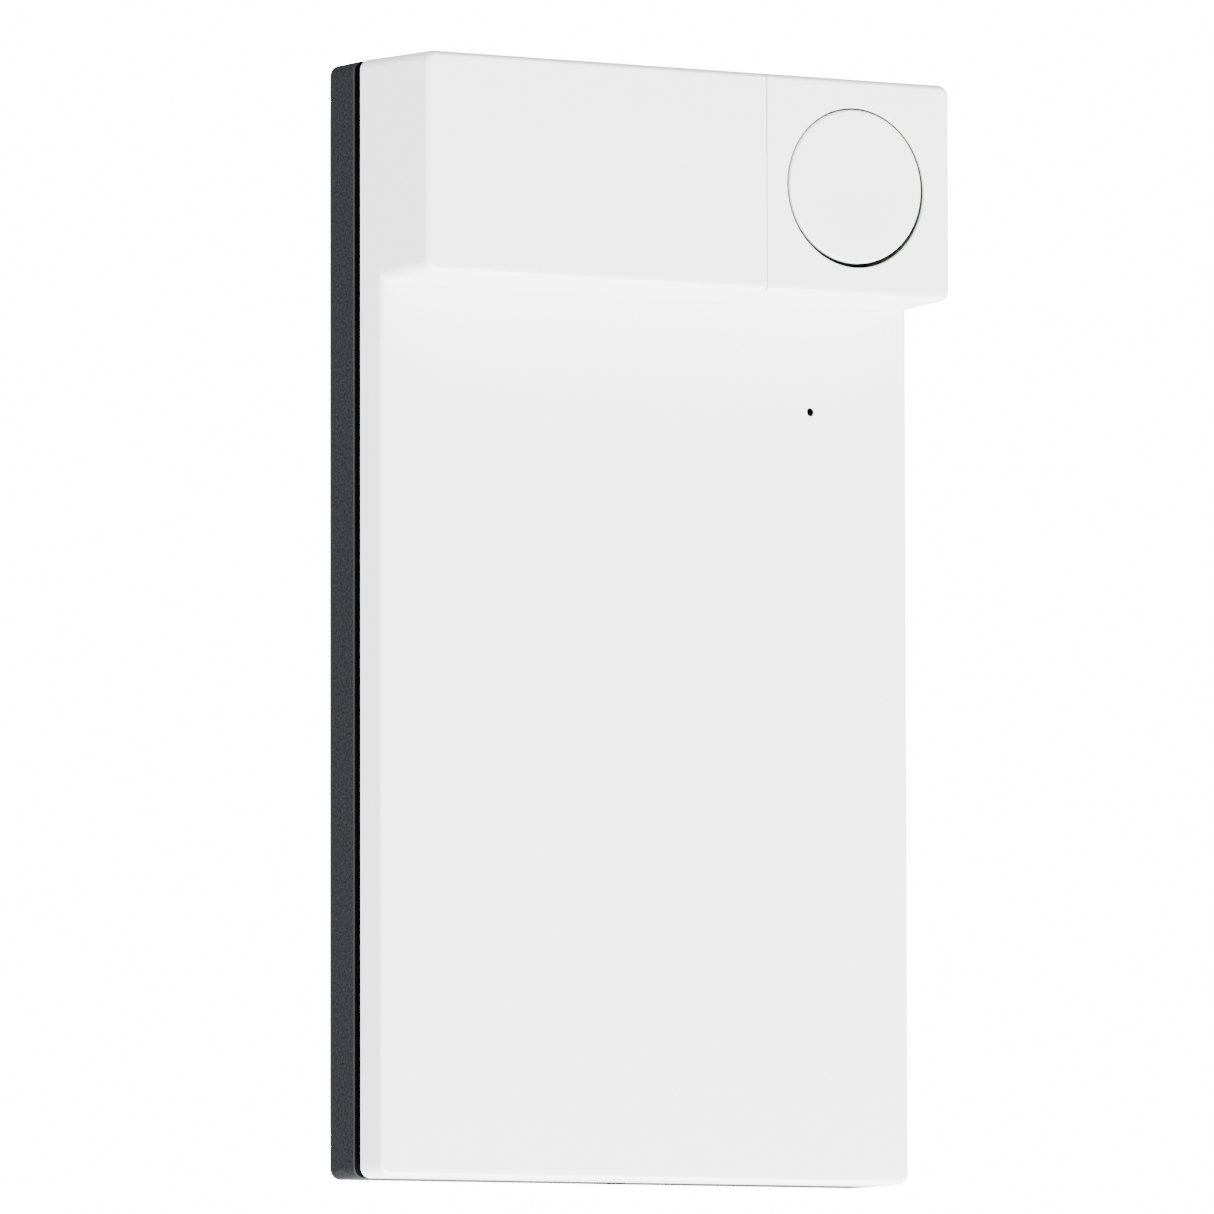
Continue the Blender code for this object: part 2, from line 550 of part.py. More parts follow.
def button_block():
    """Square white cap that forms the right end of the head and carries the button's hinge."""
    x_left = X_SEAM + SEAM / 2

    def section(y):
        draw_here = inset_at(y)
        z_under = Z_ROOT + (Y_MAIN - y) * DRAFT
        return (x_left, HALF_WIDTH - draw_here, z_under, HALF_HEIGHT - draw_here)

    block = moulded_block(
        "button_block", section(Y_BLOCK_BACK), section(Y_HEAD), Y_BLOCK_BACK, Y_HEAD,
        {"left": 0.2 * MM, "top": HEAD_FILLET, "bottom": HEAD_FILLET, "right": HEAD_FILLET},
        "white_plastic", ((1, -1), (1, 1)),
    )
    x0, x1, z0, z1 = section(Y_HEAD)
    cut(block, box("block_hollow", (x0 + BLOCK_WALL, Y_BLOCK_INSIDE, z0 + BLOCK_WALL),
                   (x1 - BLOCK_WALL, Y_BLOCK_BACK + 5 * MM, z1 - BLOCK_WALL)))
    cut(block, cylinder("button_hole", (BUTTON_X, BUTTON_Z - BUTTON_DROP), BUTTON_RADIUS + BUTTON_GAP,
                        Y_HEAD - MM, Y_BLOCK_INSIDE + MM, steps=64))
    for number, (x, z) in enumerate(BLOCK_SCREWS):
        join(block, cylinder(f"block_boss_{number}", (x, z), BLOCK_BOSS_RADIUS, Y_BLOCK_BACK,
                             Y_BLOCK_INSIDE - 0.5 * MM))
        cut(block, cylinder(f"block_boss_hole_{number}", (x, z), SCREW_HOLE_RADIUS, Y_MAIN,
                            Y_MAIN - BLOCK_SCREW_REACH - 0.5 * MM, steps=12))
    for side in (-1, 1):
        inner = BUTTON_X + side * (TONGUE_WIDTH / 2 + GAP)
        outer = inner + side * EAR_WIDTH
        join(block, box(f"hinge_ear_{side}", (min(inner, outer), HINGE_Y - 1.5 * MM, HINGE_Z - 1.7 * MM),
                        (max(inner, outer), HINGE_Y + 1.8 * MM, z1 - BLOCK_WALL + 0.5 * MM)))
    cut(block, cylinder("ear_pin_hole", (HINGE_Y, HINGE_Z), PIN_RADIUS + GAP, BUTTON_X - 8 * MM,
                        BUTTON_X + 8 * MM, steps=16, axis=0))
    return block


def hinge_pin():
    half = TONGUE_WIDTH / 2 + GAP + EAR_WIDTH
    return cylinder("hinge_pin", (HINGE_Y, HINGE_Z), PIN_RADIUS, BUTTON_X - half, BUTTON_X + half,
                    "plated_steel", 16, axis=0)


Y_STEM_TIP = Y_MAIN_INSIDE + 2.0 * MM
Y_CLIP = Y_MAIN_INSIDE + 0.4 * MM
CLIP_THICKNESS = 0.6 * MM
GROOVE_RADIUS = STEM_RADIUS - 0.5 * MM


def hinge_empty():
    """The rocker's axis: the button and its clip hang from it."""
    axis = bpy.data.objects.new("button_hinge", None)
    COLLECTIONS[OBJECT_NAME].objects.link(axis)
    axis.location = (BUTTON_X, HINGE_Y, HINGE_Z)
    return axis


def hang_from(axis, thing):
    thing.parent = axis
    thing.matrix_parent_inverse = Matrix.Translation(axis.location).inverted()
    return thing


def button_cap():
    """Round rocker cap: a turned disc and stem, with a tongue at the top for the hinge pin."""
    y_back = Y_HEAD + BUTTON_THICKNESS
    rim = 0.35 * MM
    cap = turned("button_cap", BUTTON_X, BUTTON_Z, [
        (0.0, Y_HEAD), (BUTTON_RADIUS - rim, Y_HEAD), (BUTTON_RADIUS - 0.1 * MM, Y_HEAD + 0.1 * MM),
        (BUTTON_RADIUS, Y_HEAD + rim), (BUTTON_RADIUS, y_back), (STEM_RADIUS + MM, y_back),
        (STEM_RADIUS, y_back + MM), (STEM_RADIUS, Y_CLIP - 0.2 * MM), (GROOVE_RADIUS, Y_CLIP - 0.2 * MM),
        (GROOVE_RADIUS, Y_CLIP + CLIP_THICKNESS + 0.2 * MM),
        (STEM_RADIUS, Y_CLIP + CLIP_THICKNESS + 0.2 * MM), (STEM_RADIUS, Y_STEM_TIP), (0.0, Y_STEM_TIP),
    ], "white_plastic", 64)
    half = TONGUE_WIDTH / 2
    tongue = box("button_tongue", (BUTTON_X - half, Y_HEAD + 2.5 * MM, BUTTON_Z + BUTTON_RADIUS / 2),
                 (BUTTON_X + half, HINGE_Y + 1.8 * MM, HINGE_Z + 1.7 * MM))
    hole = cylinder("tongue_pin_hole", (HINGE_Y, HINGE_Z), PIN_RADIUS + GAP, BUTTON_X - 8 * MM,
                    BUTTON_X + 8 * MM, steps=16, axis=0)
    return cut(join(cap, tongue), hole)


def stem_clip():
    """Spring clip in the stem's groove, which stops the cap behind the cover's wall."""
    inner, outer = GROOVE_RADIUS + 0.2 * MM, STEM_RADIUS + 2.2 * MM
    return turned("stem_clip", BUTTON_X, BUTTON_Z, [
        (inner, Y_CLIP), (outer, Y_CLIP),
        (outer, Y_CLIP + CLIP_THICKNESS), (inner, Y_CLIP + CLIP_THICKNESS),
    ], "plated_steel", 24)


def return_spring():
    """Coil spring around the stem, from the cover's wall to the back of the cap."""
    wire = 0.35 * MM
    radius = STEM_HOLE_RADIUS + 2 * wire
    y_front = Y_HEAD + BUTTON_THICKNESS + GAP + wire
    y_back = Y_MAIN - GAP - wire
    turns, per_turn = 5, 12
    line = bpy.data.curves.new("return_spring", "CURVE")
    line.dimensions = "3D"
    line.bevel_depth = wire
    line.bevel_resolution = 1
    line.use_fill_caps = True
    spline = line.splines.new("POLY")
    spline.points.add(turns * per_turn)
    for number, point in enumerate(spline.points):
        share = number / (turns * per_turn)
        angle = 2 * math.pi * number / per_turn
        y = y_back + (y_front - y_back) * share
        point.co = (BUTTON_X + radius * math.cos(angle), y, BUTTON_Z + radius * math.sin(angle), 1)
    return link("return_spring", line, "plated_steel")


def light_ring():
    """Clear plastic ring behind the gap around the button, open at the top for the hinge."""
    y_front, y_back = Y_BLOCK_INSIDE + GAP, Y_MAIN - 0.6 * MM
    ring = turned("light_ring", BUTTON_X, BUTTON_Z, [
        (RING_OUTER, y_front), (RING_OUTER, y_back), (RING_INNER, y_back), (RING_INNER, y_front),
    ], "light_guide", 48)
    half = TONGUE_WIDTH / 2 + GAP + EAR_WIDTH + 0.8 * MM
    return cut(ring, box("ring_opening", (BUTTON_X - half, Y_HEAD, BUTTON_Z),
                         (BUTTON_X + half, Y_COVER, BUTTON_Z + 2 * RING_OUTER)))


def block_screws():
    for number, (x, z) in enumerate(BLOCK_SCREWS):
        screw(f"block_screw_{number + 1}", x, z, Y_MAIN_INSIDE + GAP, Y_MAIN - BLOCK_SCREW_REACH)


# ---------------------------------------------------------------- board and electronics


def main_board():
    board = box("main_board", (-BOARD_X, Y_BOARD, BOARD_BOTTOM), (BOARD_X, Y_BOARD_BACK, BOARD_TOP),
                "circuit_board")
    for number, (x, z) in enumerate(BOSSES):
        if z > 0:
            cut(board, cylinder(f"board_notch_{number}", (x, z), BOSS_RADIUS + 0.8 * MM, Y_RIM - MM, Y_FLOOR))
            outer = x + math.copysign(10 * MM, x)
            cut(board, box(f"board_corner_{number}", (min(x, outer), Y_RIM - MM, z),
                           (max(x, outer), Y_FLOOR, z + 10 * MM)))
    for number, (x, z) in enumerate(STANDOFFS):
        cut(board, cylinder(f"board_hole_{number}", (x, z), SCREW_HOLE_RADIUS, Y_RIM - MM, Y_FLOOR, steps=12))
    return board


def board_screws():
    for number, (x, z) in enumerate(STANDOFFS):
        screw(f"board_screw_{number + 1}", x, z, Y_PARTS, Y_FLOOR - 0.4 * MM)


def switch():
    """Tactile switch on the board: a square body with a round plunger in its bore."""
    half, height, bore = 3.5 * MM, LOW_ROOM - SWITCH_HEADROOM, 1.95 * MM
    y_top = Y_PARTS - height
    bore_depth, plunger_foot = 1.8 * MM, 0.9 * MM
    body = box("switch_body", (BUTTON_X - half, y_top, BUTTON_Z - half),
               (BUTTON_X + half, Y_PARTS, BUTTON_Z + half), "black_plastic")
    cut(body, cylinder("switch_bore", (BUTTON_X, BUTTON_Z), bore, y_top - MM, y_top + bore_depth, steps=24))
    cylinder("switch_plunger", (BUTTON_X, BUTTON_Z), bore - GAP, Y_STEM_TIP + GAP, y_top + plunger_foot,
             "white_plastic", 20)


def lamps():
    half_x, half_z, height, well = 1.4 * MM, 1.8 * MM, 1.9 * MM, 1.0 * MM
    for number, (x, z) in enumerate(LIGHT_WINDOWS):
        lamp = box(f"lamp_{number + 1}", (x - half_x, Y_PARTS - height, z - half_z),
                   (x + half_x, Y_PARTS, z + half_z), "white_plastic")
        cut(lamp, cylinder(f"lamp_well_{number}", (x, z), well, Y_PARTS - height - MM,
                           Y_PARTS - height + 0.4 * MM, steps=16))


def microphone():
    capsule_radius, capsule_height, skin = 3.0 * MM, 2.0 * MM, 1.1 * MM
    mouth = 1.0 * MM
    place, y_top = (BUTTON_X, MICROPHONE_Z), Y_PARTS - capsule_height
    capsule = cylinder("microphone", place, capsule_radius, Y_PARTS, y_top, "plated_steel", 24)
    cut(capsule, cylinder("microphone_port", place, 0.6 * MM, y_top - MM, y_top + 0.5 * MM, steps=12))
    inner = capsule_radius + GAP
    y_front = Y_MAIN_INSIDE + GAP
    y_cap = y_top - GAP
    turned("microphone_boot", *place, [
        (mouth, y_front), (inner + skin, y_front), (inner + skin, Y_PARTS - GAP), (inner, Y_PARTS - GAP),
        (inner, y_cap), (mouth, y_cap),
    ], "black_rubber", 24)


def terminal_block():
    """Four-pole screw terminal for the supply pair and the door-opener pair."""
    poles, pitch = 4, 5.08 * MM
    y_top = Y_PARTS - LOW_ROOM + TERMINAL_HEADROOM
    middle = -HALF_WIDTH + 28 * MM
    half = poles * pitch / 2 + 0.6 * MM
    z0, z1 = BOARD_BOTTOM, BOARD_BOTTOM + 10 * MM
    z_screw = z1 - 4 * MM
    head_radius, y_head, y_foot = 1.7 * MM, y_top + 0.4 * MM, y_top + 2.4 * MM
    entry, slot, slot_depth = 1.5 * MM, 0.3 * MM, 0.6 * MM
    block = box("terminal_block", (middle - half, y_top, z0), (middle + half, Y_PARTS, z1), "green_plastic")
    for number in range(poles):
        x = middle + (number - (poles - 1) / 2) * pitch
        cut(block, box(f"wire_entry_{number}", (x - entry, Y_PARTS - 2.6 * MM, z0 - MM),
                       (x + entry, Y_PARTS - 0.6 * MM, z_screw + entry)))
        cut(block, cylinder(f"terminal_well_{number}", (x, z_screw), head_radius + GAP, y_top - MM,
                            y_foot + MM, steps=16))
        head = cylinder(f"terminal_screw_{number + 1}", (x, z_screw), head_radius, y_head, y_foot,
                        "plated_steel", 16)
        cut(head, box(f"terminal_slot_{number}", (x - 2 * head_radius, y_top - MM, z_screw - slot),
                      (x + 2 * head_radius, y_head + slot_depth, z_screw + slot)))


def board_parts():
    """The tall parts stand in the head, the flat ones under the main panel."""
    head_z = (Z_ROOT + HALF_HEIGHT) / 2
    left = -HALF_WIDTH
    box("door_relay", (left + 14 * MM, Y_PARTS - HEAD_PARTS_HEIGHT, head_z - 8 * MM),
        (left + 33 * MM, Y_PARTS, head_z + 8 * MM), "black_plastic", 0.8 * MM, 2)
    can_radius, can_height, can_spacing = 4.5 * MM, HEAD_PARTS_HEIGHT - 2 * MM, 10.4 * MM
    neck, groove_back, groove_front = can_radius - 0.4 * MM, Y_PARTS - 2.0 * MM, Y_PARTS - 2.6 * MM
    for number, side in enumerate((-1, 1)):
        centre = (left + 40 * MM, head_z + side * can_spacing / 2)
        body = cylinder(f"capacitor_{number + 1}", centre, can_radius, Y_PARTS, Y_PARTS - can_height,
                        "plated_steel", 28)
        groove = turned(f"capacitor_groove_{number}", *centre, [
            (can_radius + MM, groove_front), (can_radius + MM, groove_back),
            (neck, groove_back), (neck, groove_front),
        ], None, 28)
        cut(body, groove)
    box("power_coil", (left + 12 * MM, Y_PARTS - LOW_ROOM + COIL_HEADROOM, BOARD_BOTTOM + 20 * MM),
        (left + 24 * MM, Y_PARTS, BOARD_BOTTOM + 32 * MM), "black_plastic", 1.5 * MM)
    box("processor_shield", (-12 * MM, Y_PARTS - 2.5 * MM, BOARD_BOTTOM + 34 * MM),
        (12 * MM, Y_PARTS, BOARD_BOTTOM + 58 * MM), "plated_steel", 0.8 * MM, 2)
    box("audio_chip", (SPEAKER_X, Y_PARTS - 1.2 * MM, BOARD_BOTTOM + 12 * MM),
        (SPEAKER_X + 7 * MM, Y_PARTS, BOARD_BOTTOM + 19 * MM), "black_plastic", 0.3 * MM, 1)


SOCKET_X = SPEAKER_X - 11 * MM
SOCKET_HALF = 3.0 * MM
SOCKET_HEIGHT = 3.0 * MM


def speaker():
    """Flat loudspeaker: a pressed basket with two lugs, magnet, moving cone and foam gasket."""
    centre = (SPEAKER_X, SPEAKER_Z)
    radius = SPEAKER_RADIUS
    cup = radius - 3.0 * MM
    skin = 0.8 * MM
    mouth = cup - skin
    y_cup = Y_FLOOR - 2.0 * MM
    magnet_radius = 7.5 * MM
    basket = turned("speaker_basket", *centre, [
        (mouth, Y_SPEAKER_FRONT), (radius, Y_SPEAKER_FRONT), (radius, Y_SPEAKER_BACK), (cup, Y_SPEAKER_BACK),
        (cup, y_cup), (magnet_radius + 2 * GAP, y_cup), (magnet_radius + 2 * GAP, y_cup - skin),
        (mouth, y_cup - skin),
    ], "plated_steel", 48)
    for number, (x, z) in enumerate(SPEAKER_LUGS):
        join(basket, cylinder(f"lug_{number}", (x, z), SPEAKER_LUG_RADIUS, Y_SPEAKER_FRONT + 0.1 * MM,
                              Y_SPEAKER_BACK - 0.1 * MM))
        cut(basket, cylinder(f"lug_hole_{number}", (x, z), SCREW_HOLE_RADIUS, Y_SPEAKER_FRONT - MM,
                             Y_SPEAKER_BACK + MM, steps=12))
        screw(f"speaker_screw_{number + 1}", x, z, Y_SPEAKER_FRONT - GAP, Y_FLOOR - 0.4 * MM)
    cylinder("speaker_magnet", centre, magnet_radius, Y_FLOOR - GAP, y_cup - skin - 0.2 * MM,
             "black_plastic", 32)
    cone_y = Y_SPEAKER_FRONT + 0.4 * MM
    y_dome = y_cup - skin - 1.4 * MM
    edge = mouth - 0.5 * MM
    turned("speaker_cone", *centre, [
        (0.0, y_dome - 1.1 * MM), (3.0 * MM, y_dome - 0.8 * MM), (5.0 * MM, y_dome),
        (edge - 2.2 * MM, cone_y), (edge - 1.1 * MM, cone_y - 0.4 * MM), (edge, cone_y),
        (edge, cone_y + 0.5 * MM), (edge - 2.4 * MM, cone_y + 0.5 * MM), (5.0 * MM, y_dome + 0.5 * MM),
        (0.0, y_dome + 0.5 * MM),
    ], "paper_cone", 40)
    turned("speaker_gasket", *centre, [
        (mouth - 0.4 * MM, Y_SPEAKER_FRONT - 1.8 * MM), (radius - 2.2 * MM, Y_SPEAKER_FRONT - 1.8 * MM),
        (radius - 2.2 * MM, Y_SPEAKER_FRONT - GAP), (mouth - 0.4 * MM, Y_SPEAKER_FRONT - GAP),
    ], "black_rubber", 40)


def speaker_lead():
    """Two-core lead from the socket on the board to the basket's rim."""
    socket_low = BOARD_BOTTOM + 1.0 * MM
    box("speaker_socket", (SOCKET_X - SOCKET_HALF, Y_PARTS - SOCKET_HEIGHT, socket_low),
        (SOCKET_X + SOCKET_HALF, Y_PARTS, socket_low + 4 * MM), "white_plastic", 0.3 * MM, 1)
    wire = 0.7 * MM
    y_end = Y_SPEAKER_FRONT - GAP - wire
    angle = math.radians(108)
    reach = SPEAKER_RADIUS - 0.9 * MM
    end = Vector((SPEAKER_X + reach * math.cos(angle), y_end, SPEAKER_Z + reach * math.sin(angle)))
    start = Vector((SOCKET_X, Y_PARTS - SOCKET_HEIGHT / 2, socket_low - GAP))
    out_of_socket, into_rim = start - Vector((0, 0, 8 * MM)), end + Vector((0, -MM, 6 * MM))
    line = bpy.data.curves.new("speaker_lead", "CURVE")
    line.dimensions = "3D"
    line.bevel_depth = wire
    line.bevel_resolution = 2
    line.use_fill_caps = True
    spline = line.splines.new("POLY")
    count = 10
    spline.points.add(count)
    for number, point in enumerate(spline.points):
        t = number / count
        place = (start * (1 - t) ** 3 + out_of_socket * 3 * t * (1 - t) ** 2
                 + into_rim * 3 * t ** 2 * (1 - t) + end * t ** 3)
        point.co = (*place, 1)
    return link("speaker_lead", line, "black_rubber")


wall_plate()
rear_housing()
lock_screw()
housing_seal()
cable_grommet()
case_screws()
main_board()
board_screws()
switch()
lamps()
microphone()
terminal_block()
board_parts()
speaker()
speaker_lead()
front_cover()
button_block()
hinge_pin()
light_ring()
block_screws()
return_spring()
rocker_axis = hinge_empty()
hang_from(rocker_axis, button_cap())
hang_from(rocker_axis, stem_clip())

for part in COLLECTIONS[OBJECT_NAME].objects:
    if part.type == "MESH":
        part.data.shade_smooth()
        part.data.set_sharp_from_angle(angle=math.radians(30))
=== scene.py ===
import json
import math

import bmesh
import bpy
from mathutils import Matrix, Vector


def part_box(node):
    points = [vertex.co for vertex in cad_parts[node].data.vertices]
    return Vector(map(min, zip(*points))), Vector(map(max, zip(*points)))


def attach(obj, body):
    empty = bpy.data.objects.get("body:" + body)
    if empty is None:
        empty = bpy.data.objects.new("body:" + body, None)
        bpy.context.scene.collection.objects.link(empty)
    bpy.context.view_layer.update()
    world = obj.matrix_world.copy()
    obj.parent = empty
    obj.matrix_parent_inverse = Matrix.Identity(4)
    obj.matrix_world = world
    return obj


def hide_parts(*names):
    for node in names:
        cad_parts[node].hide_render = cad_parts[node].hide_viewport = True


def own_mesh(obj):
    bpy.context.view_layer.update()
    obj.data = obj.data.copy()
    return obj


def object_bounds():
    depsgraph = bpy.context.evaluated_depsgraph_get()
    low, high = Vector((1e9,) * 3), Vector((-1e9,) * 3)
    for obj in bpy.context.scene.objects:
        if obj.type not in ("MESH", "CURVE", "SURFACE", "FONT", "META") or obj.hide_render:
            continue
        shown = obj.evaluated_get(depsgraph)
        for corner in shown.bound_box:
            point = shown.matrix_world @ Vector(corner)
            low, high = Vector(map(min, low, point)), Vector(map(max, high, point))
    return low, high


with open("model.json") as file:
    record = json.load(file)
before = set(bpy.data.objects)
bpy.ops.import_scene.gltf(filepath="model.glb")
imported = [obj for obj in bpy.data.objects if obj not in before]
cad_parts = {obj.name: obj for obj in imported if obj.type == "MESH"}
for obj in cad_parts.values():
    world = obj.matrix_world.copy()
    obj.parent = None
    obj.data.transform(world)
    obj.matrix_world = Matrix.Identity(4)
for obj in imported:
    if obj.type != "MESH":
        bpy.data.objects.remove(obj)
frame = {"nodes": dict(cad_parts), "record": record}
cad_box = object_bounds()
bpy.ops.object.select_all(action="DESELECT")

# ---------------------------------------------------------------- studio
# A pale floor well below the object, as under a unit on a wall. The surround is bright low down,
# dimmer overhead and plain white to the camera. Two lamps stand in front: a broad low one, and a
# narrow one on the left that lights the housing's side.

FLOOR_SIZE, FLOOR_DROP, FLOOR_GLOW = 30, 1.2, 3.7
bpy.ops.mesh.primitive_plane_add(size=FLOOR_SIZE, location=(0, 0, cad_box[0].z - FLOOR_DROP))
studio_floor = bpy.context.object
studio_floor.name = "studio_floor"
floor_paint = bpy.data.materials.new("floor_paint")
floor_paint.use_nodes = True
floor_shader = floor_paint.node_tree.nodes["Principled BSDF"]
floor_shader.inputs["Base Color"].default_value = (0.86, 0.86, 0.86, 1)
floor_shader.inputs["Roughness"].default_value = 0.9
floor_shader.inputs["Emission Color"].default_value = (1, 1, 1, 1)
floor_shader.inputs["Emission Strength"].default_value = FLOOR_GLOW
studio_floor.data.materials.append(floor_paint)

SURROUND_LOW, SURROUND_LEVEL, SURROUND_HIGH, SURROUND_SEEN = 8.6, 2.4, 0.25, 16
surround = bpy.data.worlds.new("surround")
bpy.context.scene.world = surround
surround.use_nodes = True
sky = surround.node_tree
towards = sky.nodes.new("ShaderNodeTexCoord")
split = sky.nodes.new("ShaderNodeSeparateXYZ")
height = sky.nodes.new("ShaderNodeMapRange")
height.inputs["From Min"].default_value = -1.0
levels = sky.nodes.new("ShaderNodeValToRGB")
levels.color_ramp.elements.new(0.5)
for stop, level in zip(levels.color_ramp.elements, (SURROUND_LOW, SURROUND_LEVEL, SURROUND_HIGH)):
    stop.color = (level, level, level, 1)
seen = sky.nodes.new("ShaderNodeLightPath")
choice = sky.nodes.new("ShaderNodeMix")
choice.data_type = "RGBA"
choice.inputs["B"].default_value = (SURROUND_SEEN, SURROUND_SEEN, SURROUND_SEEN, 1)
sky.links.new(towards.outputs["Generated"], split.inputs["Vector"])
sky.links.new(split.outputs["Z"], height.inputs["Value"])
sky.links.new(height.outputs["Result"], levels.inputs["Fac"])
sky.links.new(levels.outputs["Color"], choice.inputs["A"])
sky.links.new(seen.outputs["Is Camera Ray"], choice.inputs["Factor"])
sky.links.new(choice.outputs["Result"], sky.nodes["Background"].inputs["Color"])


def soft_lamp(name, place, width, height, power):
    """A rectangular area lamp that faces the object."""
    light = bpy.data.lights.new(name, "AREA")
    light.shape = "RECTANGLE"
    light.size, light.size_y = width, height
    light.energy = power
    lamp = bpy.data.objects.new(name, light)
    bpy.context.collection.objects.link(lamp)
    lamp.location = place
    lamp.rotation_euler = (-Vector(place)).to_track_quat("-Z", "Y").to_euler()


soft_lamp("low_lamp", (0.25, -0.85, -1.0), width=0.9, height=0.6, power=85.0)
soft_lamp("edge_lamp", (-1.04, -0.6, -0.05), width=0.06, height=0.9, power=13.0)

# ---------------------------------------------------------------- camera
# A long lens well to the left of the object and a little below its middle.

CAMERA_PLACE = (-1.03213, -1.74652, -0.15328)
CAMERA_TURN = math.radians(-30.649)
CAMERA_TILT = math.radians(-4.439)
CAMERA_ROLL = math.radians(-0.101)
FOCAL_LENGTH, SENSOR_WIDTH, FAR_LIMIT = 368.48, 36.0, 50
back = Vector((
    math.sin(CAMERA_TURN) * math.cos(CAMERA_TILT),
    -math.cos(CAMERA_TURN) * math.cos(CAMERA_TILT),
    math.sin(CAMERA_TILT),
))
right = Vector((math.cos(CAMERA_TURN), math.sin(CAMERA_TURN), 0))
axes = Matrix((right, back.cross(right), back)).transposed() @ Matrix.Rotation(CAMERA_ROLL, 3, "Z")
lens = bpy.data.cameras.new("camera")
lens.lens, lens.sensor_width = FOCAL_LENGTH, SENSOR_WIDTH
lens.clip_end = FAR_LIMIT
camera = bpy.data.objects.new("camera", lens)
bpy.context.collection.objects.link(camera)
camera.matrix_world = Matrix.Translation(CAMERA_PLACE) @ axes.to_4x4()
bpy.context.scene.camera = camera

# ---------------------------------------------------------------- wall plate and rear housing
# Both are moulded in anthracite plastic with a fine spark-eroded grain. The plate screws to the
# wall, and the shallow housing hangs on its four hooks.

MM = 0.001
WELD_DISTANCE = 0.002 * MM
CREASE_DEGREES = 32


class Wire:
    """A shader socket that can stand in a sum."""

    def __init__(self, tree, socket):
        self.tree = tree
        self.socket = socket

    def into(self, socket):
        self.tree.links.new(self.socket, socket)

    def maths(self, operation, *values):
        return node(self.tree, "ShaderNodeMath", {"operation": operation}, dict(enumerate(values)))

    def __add__(self, other):
        return self.maths("ADD", self, other)

    def __sub__(self, other):
        return self.maths("SUBTRACT", self, other)

    def __rsub__(self, other):
        return self.maths("SUBTRACT", other, self)

    def __mul__(self, other):
        return self.maths("MULTIPLY", self, other)

    def __gt__(self, other):
        return self.maths("GREATER_THAN", self, other)

    def __lt__(self, other):
        return self.maths("LESS_THAN", self, other)

    __radd__, __rmul__ = __add__, __mul__


def node(tree, kind, settings=None, sockets=None, output=0):
    """A shader node with its settings made first, then its sockets' values or links."""
    made = tree.nodes.new(kind)
    for name, value in (settings or {}).items():
        setattr(made, name, value)
    for name, value in (sockets or {}).items():
        if isinstance(value, Wire):
            value.into(made.inputs[name])
        else:
            made.inputs[name].default_value = value
    return Wire(tree, made.outputs[output])


def new_finish(name, roughness, metallic=0.0, gloss=0.5):
    """A material, its node tree and its shader."""
    made = bpy.data.materials.new(name)
    made.use_nodes = True
    shader = made.node_tree.nodes["Principled BSDF"]
    shader.inputs["Roughness"].default_value = roughness
    shader.inputs["Metallic"].default_value = metallic
    shader.inputs["Specular IOR Level"].default_value = gloss
    return made, made.node_tree, shader


def place_of(tree):
    return node(tree, "ShaderNodeTexCoord", output="Object")


def along(axis, tree, place):
    """How far each point is along one axis."""
    return node(tree, "ShaderNodeSeparateXYZ", None, {"Vector": place}, axis)


def noise(tree, place, scale, detail=2.0):
    return node(tree, "ShaderNodeTexNoise", None, {"Vector": place, "Scale": scale, "Detail": detail})


def mixed(tree, factor, first, second):
    """A colour between two, each of them a link or three numbers."""
    ends = {}
    for name, colour in (("A", first), ("B", second)):
        ends[name] = (*colour, 1) if isinstance(colour, tuple) else colour
    return node(tree, "ShaderNodeMix", {"data_type": "RGBA"}, {"Factor": factor, **ends}, "Result")


def bump(tree, height, strength, distance):
    settings = {"Height": height, "Strength": strength, "Distance": distance}
    return node(tree, "ShaderNodeBump", None, settings, "Normal")


FLOW_SCALE = 30.0
GRAIN_SHARE, FLOW_SHARE = 0.8, 0.2
GLOSS_SWING = 0.12


def moulded(name, colour, fleck, roughness, gloss, grain, depth, strength=0.5):
    """Spark-eroded moulding: flecked grain over broad flow marks that change its tone and gloss."""
    made, tree, shader = new_finish(name, roughness, gloss=gloss)
    place = place_of(tree)
    fine = noise(tree, place, grain)
    flow = noise(tree, place, FLOW_SCALE, detail=3.0)
    sharp = node(tree, "ShaderNodeMapRange", None, {"Value": fine, "From Min": 0.36, "From Max": 0.64})
    mixed(tree, sharp * GRAIN_SHARE + flow * FLOW_SHARE, colour, fleck).into(shader.inputs["Base Color"])
    (flow * GLOSS_SWING + (roughness - GLOSS_SWING / 2)).into(shader.inputs["Roughness"])
    bump(tree, fine, strength, depth).into(shader.inputs["Normal"])
    return made


def settle(name, finish):
    """Dresses a node: welds its loose triangles, and shades flats flat and rounds round."""
    thing = frame["nodes"][name]
    thing.data.materials.clear()
    thing.data.materials.append(finish)
    weld = thing.modifiers.new("weld", "WELD")
    weld.merge_threshold = WELD_DISTANCE
    split = thing.modifiers.new("edges", "EDGE_SPLIT")
    split.split_angle = math.radians(CREASE_DEGREES)
    thing.modifiers.new("flats", "WEIGHTED_NORMAL").keep_sharp = True
    thing.data.shade_smooth()


anthracite = moulded(
    "anthracite_moulding", (0.0015, 0.002, 0.003), (0.018, 0.0193, 0.0218), roughness=0.5, gloss=0.02,
    grain=2600.0, depth=0.05 * MM,
)
plate_moulding = moulded(
    "plate_moulding", (0.004, 0.0044, 0.005), (0.012, 0.0128, 0.0142), roughness=0.6, gloss=0.02,
    grain=1900.0, depth=0.06 * MM,
)
settle("wall_plate", plate_moulding)
settle("rear_housing", anthracite)

